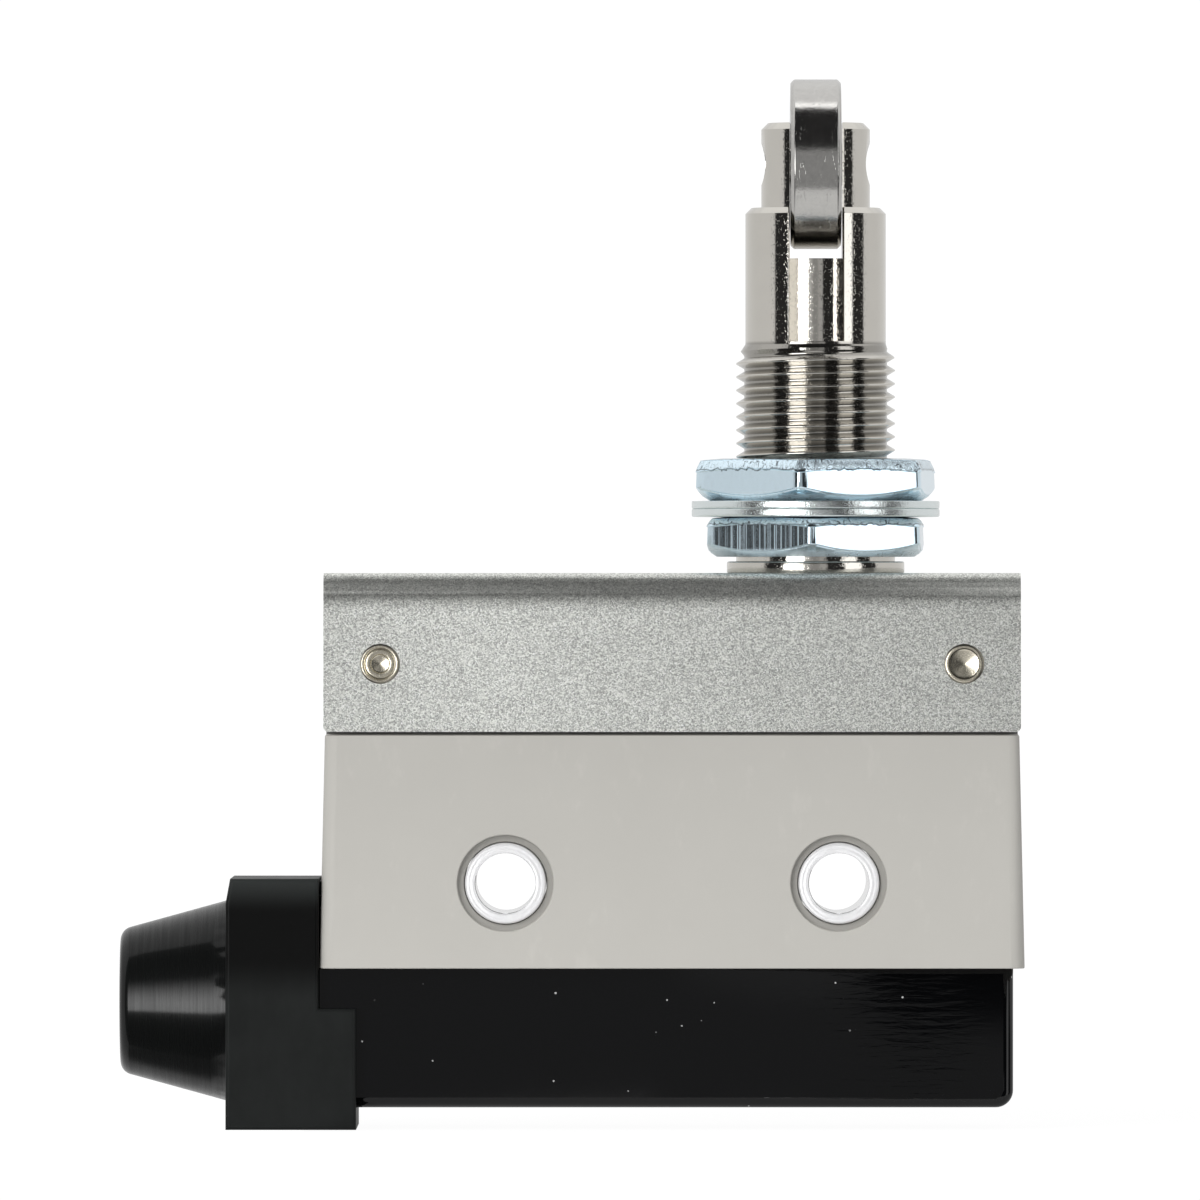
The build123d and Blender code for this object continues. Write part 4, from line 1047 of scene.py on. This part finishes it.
class SWITCH_OT_case_fittings(Operator):
    """Makes the mounting eyelets and the cover's rivets"""

    bl_idname = "switch.case_fittings"
    bl_label = "Eyelets and rivets"

    def execute(self, context):
        sizes = context.scene.case_sizes
        for side in ("left", "right"):
            self.eyelet("mounting_eyelet_" + side, sizes.hole_dia / 2)
            self.rivet("cover_rivet_" + side, sizes.rivet_shank_dia / 2)
        return {"FINISHED"}

    def eyelet(self, node, bore):
        centre, size = measured(node)
        half = size.y
        radius = size.x
        end = [
            (bore, half - 0.10 * MM),
            (bore + 0.08 * MM, half - 0.02 * MM),
            (bore + 0.20 * MM, half),
            (bore + 0.34 * MM, half - 0.01 * MM),
            (bore + 0.42 * MM, half - 0.035 * MM),
            (bore + 0.50 * MM, half - 0.01 * MM),
            (radius - 0.2 * MM, half - 0.02 * MM),
            (radius - 0.07 * MM, half - 0.09 * MM),
            (radius, half - 0.22 * MM),
        ]
        bm = turned(both_ends(end), centre, DEEP, 128)
        finish_piece(node + "_drawn", bm, "eyelet_metal", "case", node, 40.0)

    def rivet(self, node, shank):
        """A rivet with a rolled rim and a dish punched in each end, ridged by the punch."""
        centre, size = measured(node)
        half = size.y
        radius = size.x
        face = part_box("top_cover")[1].y
        if "left" in node:
            rim = 0.66 * MM
            lip = half - 0.05 * MM
            rolled = [
                (0.70 * MM, half - 0.09 * MM),
                (0.76 * MM, half - 0.03 * MM),
                (0.92 * MM, half),
                (1.06 * MM, half - 0.03 * MM),
                (1.11 * MM, half - 0.10 * MM),
                (1.16 * MM, half - 0.09 * MM),
                (1.22 * MM, half - 0.03 * MM),
                (1.32 * MM, half - 0.01 * MM),
            ]
        else:
            rim = 1.10 * MM
            lip = half - 0.02 * MM
            rolled = [
                (1.135 * MM, half - 0.09 * MM),
                (1.18 * MM, half - 0.01 * MM),
                (1.28 * MM, half),
            ]
        ridges = 8
        slope = tan(radians(9.5))
        dish = [(0.0, lip - slope * rim)]
        for ridge in range(1, ridges + 1):
            out = rim * ridge / ridges
            dish.append((out, lip - slope * (rim - out) - (ridge % 2) * 0.016 * MM))
        end = [
            *dish,
            *rolled,
            (radius - 0.10 * MM, half - 0.02 * MM),
            (radius - 0.03 * MM, half - 0.06 * MM),
            (radius, face + 0.01 * MM),
            (radius - 0.02 * MM, face - 0.01 * MM),
            (shank, face - 0.03 * MM),
        ]
        bm = turned(both_ends(end), centre, DEEP, 96)
        finish_piece(node + "_punched", bm, "rivet_nickel", "case", node, 24.0)


class SWITCH_OT_springs(Operator):
    """Winds the two springs round the plunger"""

    bl_idname = "switch.springs"
    bl_label = "Springs"

    def execute(self, context):
        low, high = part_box("return_spring")
        travel = self.travel("plunger_slide")
        height = high.z - low.z
        coil = self.wind("return_spring", "case", 0.8 * MM, 7)
        1 - travel / height
        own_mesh(coil)

        low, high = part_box("overtravel_spring")
        travel = self.travel("push_pin_slide")
        height = high.z - low.z
        coil = self.wind("overtravel_spring", "plunger", 0.45 * MM, 10)
        1 - travel / height
        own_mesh(coil)
        return {"FINISHED"}

    def travel(self, name):
        joint = next(joint for joint in frame["joints"] if joint["name"] == name)
        return max(abs(end) for end in joint["range_m"])

    def wind(self, node, body, wire, turns):
        centre, half = measured(node)
        radius = half.x - wire / 2
        rise = 2 * half.z - wire
        start = Vector((centre.x + radius, 0.0, centre.z - rise / 2))
        bm = bmesh.new()
        bmesh.ops.create_circle(bm, segments=12, radius=wire / 2, cap_ends=True)
        bmesh.ops.rotate(bm, verts=bm.verts, matrix=Matrix.Rotation(radians(90), 3, "X"))
        bmesh.ops.translate(bm, verts=bm.verts, vec=start)
        steps = 32 * turns
        bmesh.ops.spin(
            bm,
            geom=bm.faces[:],
            cent=start - ACROSS * radius,
            axis=UP,
            dvec=UP * (rise / steps),
            angle=2 * pi * turns,
            steps=steps,
            use_merge=False,
        )
        bmesh.ops.remove_doubles(bm, verts=bm.verts, dist=0.001 * MM)
        bmesh.ops.recalc_face_normals(bm, faces=bm.faces)
        return finish_piece(node + "_coiled", bm, "spring_steel", body, node, 40.0)


class SWITCH_OT_stage(Operator):
    """Sets the camera, the floor and the studio's light"""

    bl_idname = "switch.stage"
    bl_label = "Stage"

    def execute(self, context):
        self.camera(context)
        self.floor(context)
        self.lamp(context)
        self.world(context)
        context.scene.view_settings.view_transform = "Standard"
        return {"FINISHED"}

    def camera(self, context):
        distance = 1.5
        field = 90.23 * MM
        front = 4.5 * MM
        sensor = 36.0
        data = bpy.data.cameras.new("camera")
        data.sensor_width = sensor
        data.lens = sensor * (distance - front) / field
        data.clip_start = 0.01
        data.clip_end = 50.0
        camera = bpy.data.objects.new("camera", data)
        camera.location = (-5.41 * MM, -distance, 21.24 * MM)
        camera.rotation_euler = (radians(90), 0, 0)
        context.scene.collection.objects.link(camera)
        context.scene.camera = camera

    def floor(self, context):
        """A white floor, which to the camera keeps only a trace of the shadow."""
        depth = 108 * MM
        width_share = 0.36
        bm = bmesh.new()
        bmesh.ops.create_circle(bm, cap_ends=True, segments=96, radius=depth)
        bmesh.ops.scale(bm, vec=(width_share, 1.0, 1.0), verts=bm.verts)
        bmesh.ops.translate(bm, vec=(11 * MM, 0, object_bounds()[0][2] - 0.02 * MM), verts=bm.verts)
        mesh = bpy.data.meshes.new("floor")
        bm.to_mesh(mesh)
        bm.free()
        material = bpy.data.materials.new("floor")
        material.use_nodes = True
        g = Graph(material.node_tree)
        plain = g.node("ShaderNodeBsdfDiffuse", inputs={"Color": (0.85, 0.85, 0.85, 1.0)})
        white = g.node("ShaderNodeEmission", inputs={"Color": WHITE, "Strength": WHITE_BACKGROUND})
        share = g.ray("Camera") * 0.93 + g.ray("Glossy") * 0.4
        inputs = {0: share, 1: plain.outputs[0], 2: white.outputs[0]}
        mixed = g.node("ShaderNodeMixShader", inputs=inputs)
        g.node("ShaderNodeOutputMaterial", inputs={"Surface": mixed.outputs[0]})
        mesh.materials.append(material)
        floor = bpy.data.objects.new("floor", mesh)
        context.scene.collection.objects.link(floor)
        floor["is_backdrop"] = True

    def lamp(self, context):
        """A large soft lamp to the left of the camera, for gentle shading of matt surfaces."""
        place = Vector((-0.5, -0.75, 0.5))
        data = bpy.data.lights.new("key", "AREA")
        data.shape = "SQUARE"
        data.size = 0.5
        data.energy = 4.4
        lamp = bpy.data.objects.new("key", data)
        lamp.location = place
        lamp.rotation_euler = (middle("housing") - place).to_track_quat("-Z", "Y").to_euler()
        lamp.visible_camera = False
        lamp.visible_glossy = False
        context.scene.collection.objects.link(lamp)

    def world(self, context):
        """A studio all round: two soft boxes in front, dark between them, a pale backdrop behind."""
        world = bpy.data.worlds.new("studio")
        context.scene.world = world
        world.use_nodes = True
        g = Graph(world.node_tree)
        x, y, z = g.axes(g.node("ShaderNodeTexCoord").outputs["Generated"])
        turn = x.maths("ARCTAN2", y * -1.0) * (180 / pi)
        lift = z.maths("ARCSINE") * (180 / pi)
        front = g.window(turn, -71.0, 85.0, 2.0)
        boxes_up = g.step(lift, -16.0, -11.0) * g.step(lift, 30.0, -6.0)
        left_box = g.window(turn, -43.0, -17.0, 1.5) * boxes_up * 7.0
        right_up = g.step(lift, -16.0, -11.0) * g.step(lift, 56.0, 40.0)
        right_box = g.window(turn, 38.0, 62.0, 2.0) * right_up * 1.55
        room = g.window(turn, -17.0, 14.5, 1.5) * g.window(lift, -60.0, 19.0, 1.5)
        room_light = 0.28 + g.step(turn, -4.0, -13.0) * 0.27 + g.step(turn, 2.0, 7.0) * 0.12
        ahead = left_box + right_box + room * room_light + 0.025
        far = turn.maths("ABSOLUTE")
        backdrop = g.window(lift, -60.0, 32.0, 6.0) * (0.61 + g.step(far, 115.0, 165.0) * 0.07) + 0.1
        ceiling = g.step(lift, 24.0, 40.0) * 0.85
        behind = backdrop + ceiling
        cap = g.step(lift, 81.0, 84.0) * 2.2
        reflected = front * (ahead + cap) + (1.0 - front) * behind
        spread = 0.54 + (y * -1.0).maths("MAXIMUM", 0.0) * 0.34 - z.maths("MAXIMUM", 0.0) * 0.12
        seen = g.ray("Camera")
        matt = g.ray("Diffuse")
        lit = reflected * (1.0 - matt) + spread * matt
        strength = lit * (1.0 - seen) + seen * WHITE_BACKGROUND
        background = g.node("ShaderNodeBackground", inputs={"Color": WHITE, "Strength": strength})
        g.node("ShaderNodeOutputWorld", inputs={"Surface": background.outputs[0]})


OPERATORS = (
    SWITCH_OT_stage,
    SWITCH_OT_finishes,
    SWITCH_OT_roller,
    SWITCH_OT_plunger,
    SWITCH_OT_barrel,
    SWITCH_OT_nuts,
    SWITCH_OT_case_fittings,
    SWITCH_OT_springs,
)


class SWITCH_PT_panel(Panel):
    """Lists the switch's pieces in the sidebar"""

    bl_idname = "SWITCH_PT_panel"
    bl_label = "Micro switch"
    bl_space_type = "VIEW_3D"
    bl_region_type = "UI"
    bl_category = "Micro switch"

    def draw(self, context):
        for operator in OPERATORS:
            self.layout.operator(operator.bl_idname)


GROUPS = {
    "barrel_sizes": BarrelSizes,
    "plunger_sizes": PlungerSizes,
    "case_sizes": CaseSizes,
    "switch_colours": SwitchColours,
}


def register():
    for group in GROUPS.values():
        bpy.utils.register_class(group)
    for name, group in GROUPS.items():
        setattr(bpy.types.Scene, name, PointerProperty(type=group))
    for operator in OPERATORS:
        bpy.utils.register_class(operator)
    bpy.utils.register_class(SWITCH_PT_panel)


def unregister():
    bpy.utils.unregister_class(SWITCH_PT_panel)
    for operator in reversed(OPERATORS):
        bpy.utils.unregister_class(operator)
    for name in GROUPS:
        delattr(bpy.types.Scene, name)
    for group in reversed(GROUPS.values()):
        bpy.utils.unregister_class(group)


def main():
    register()
    for operator in OPERATORS:
        family, action = operator.bl_idname.split(".")
        getattr(getattr(bpy.ops, family), action)()


if __name__ == "__main__":
    main()
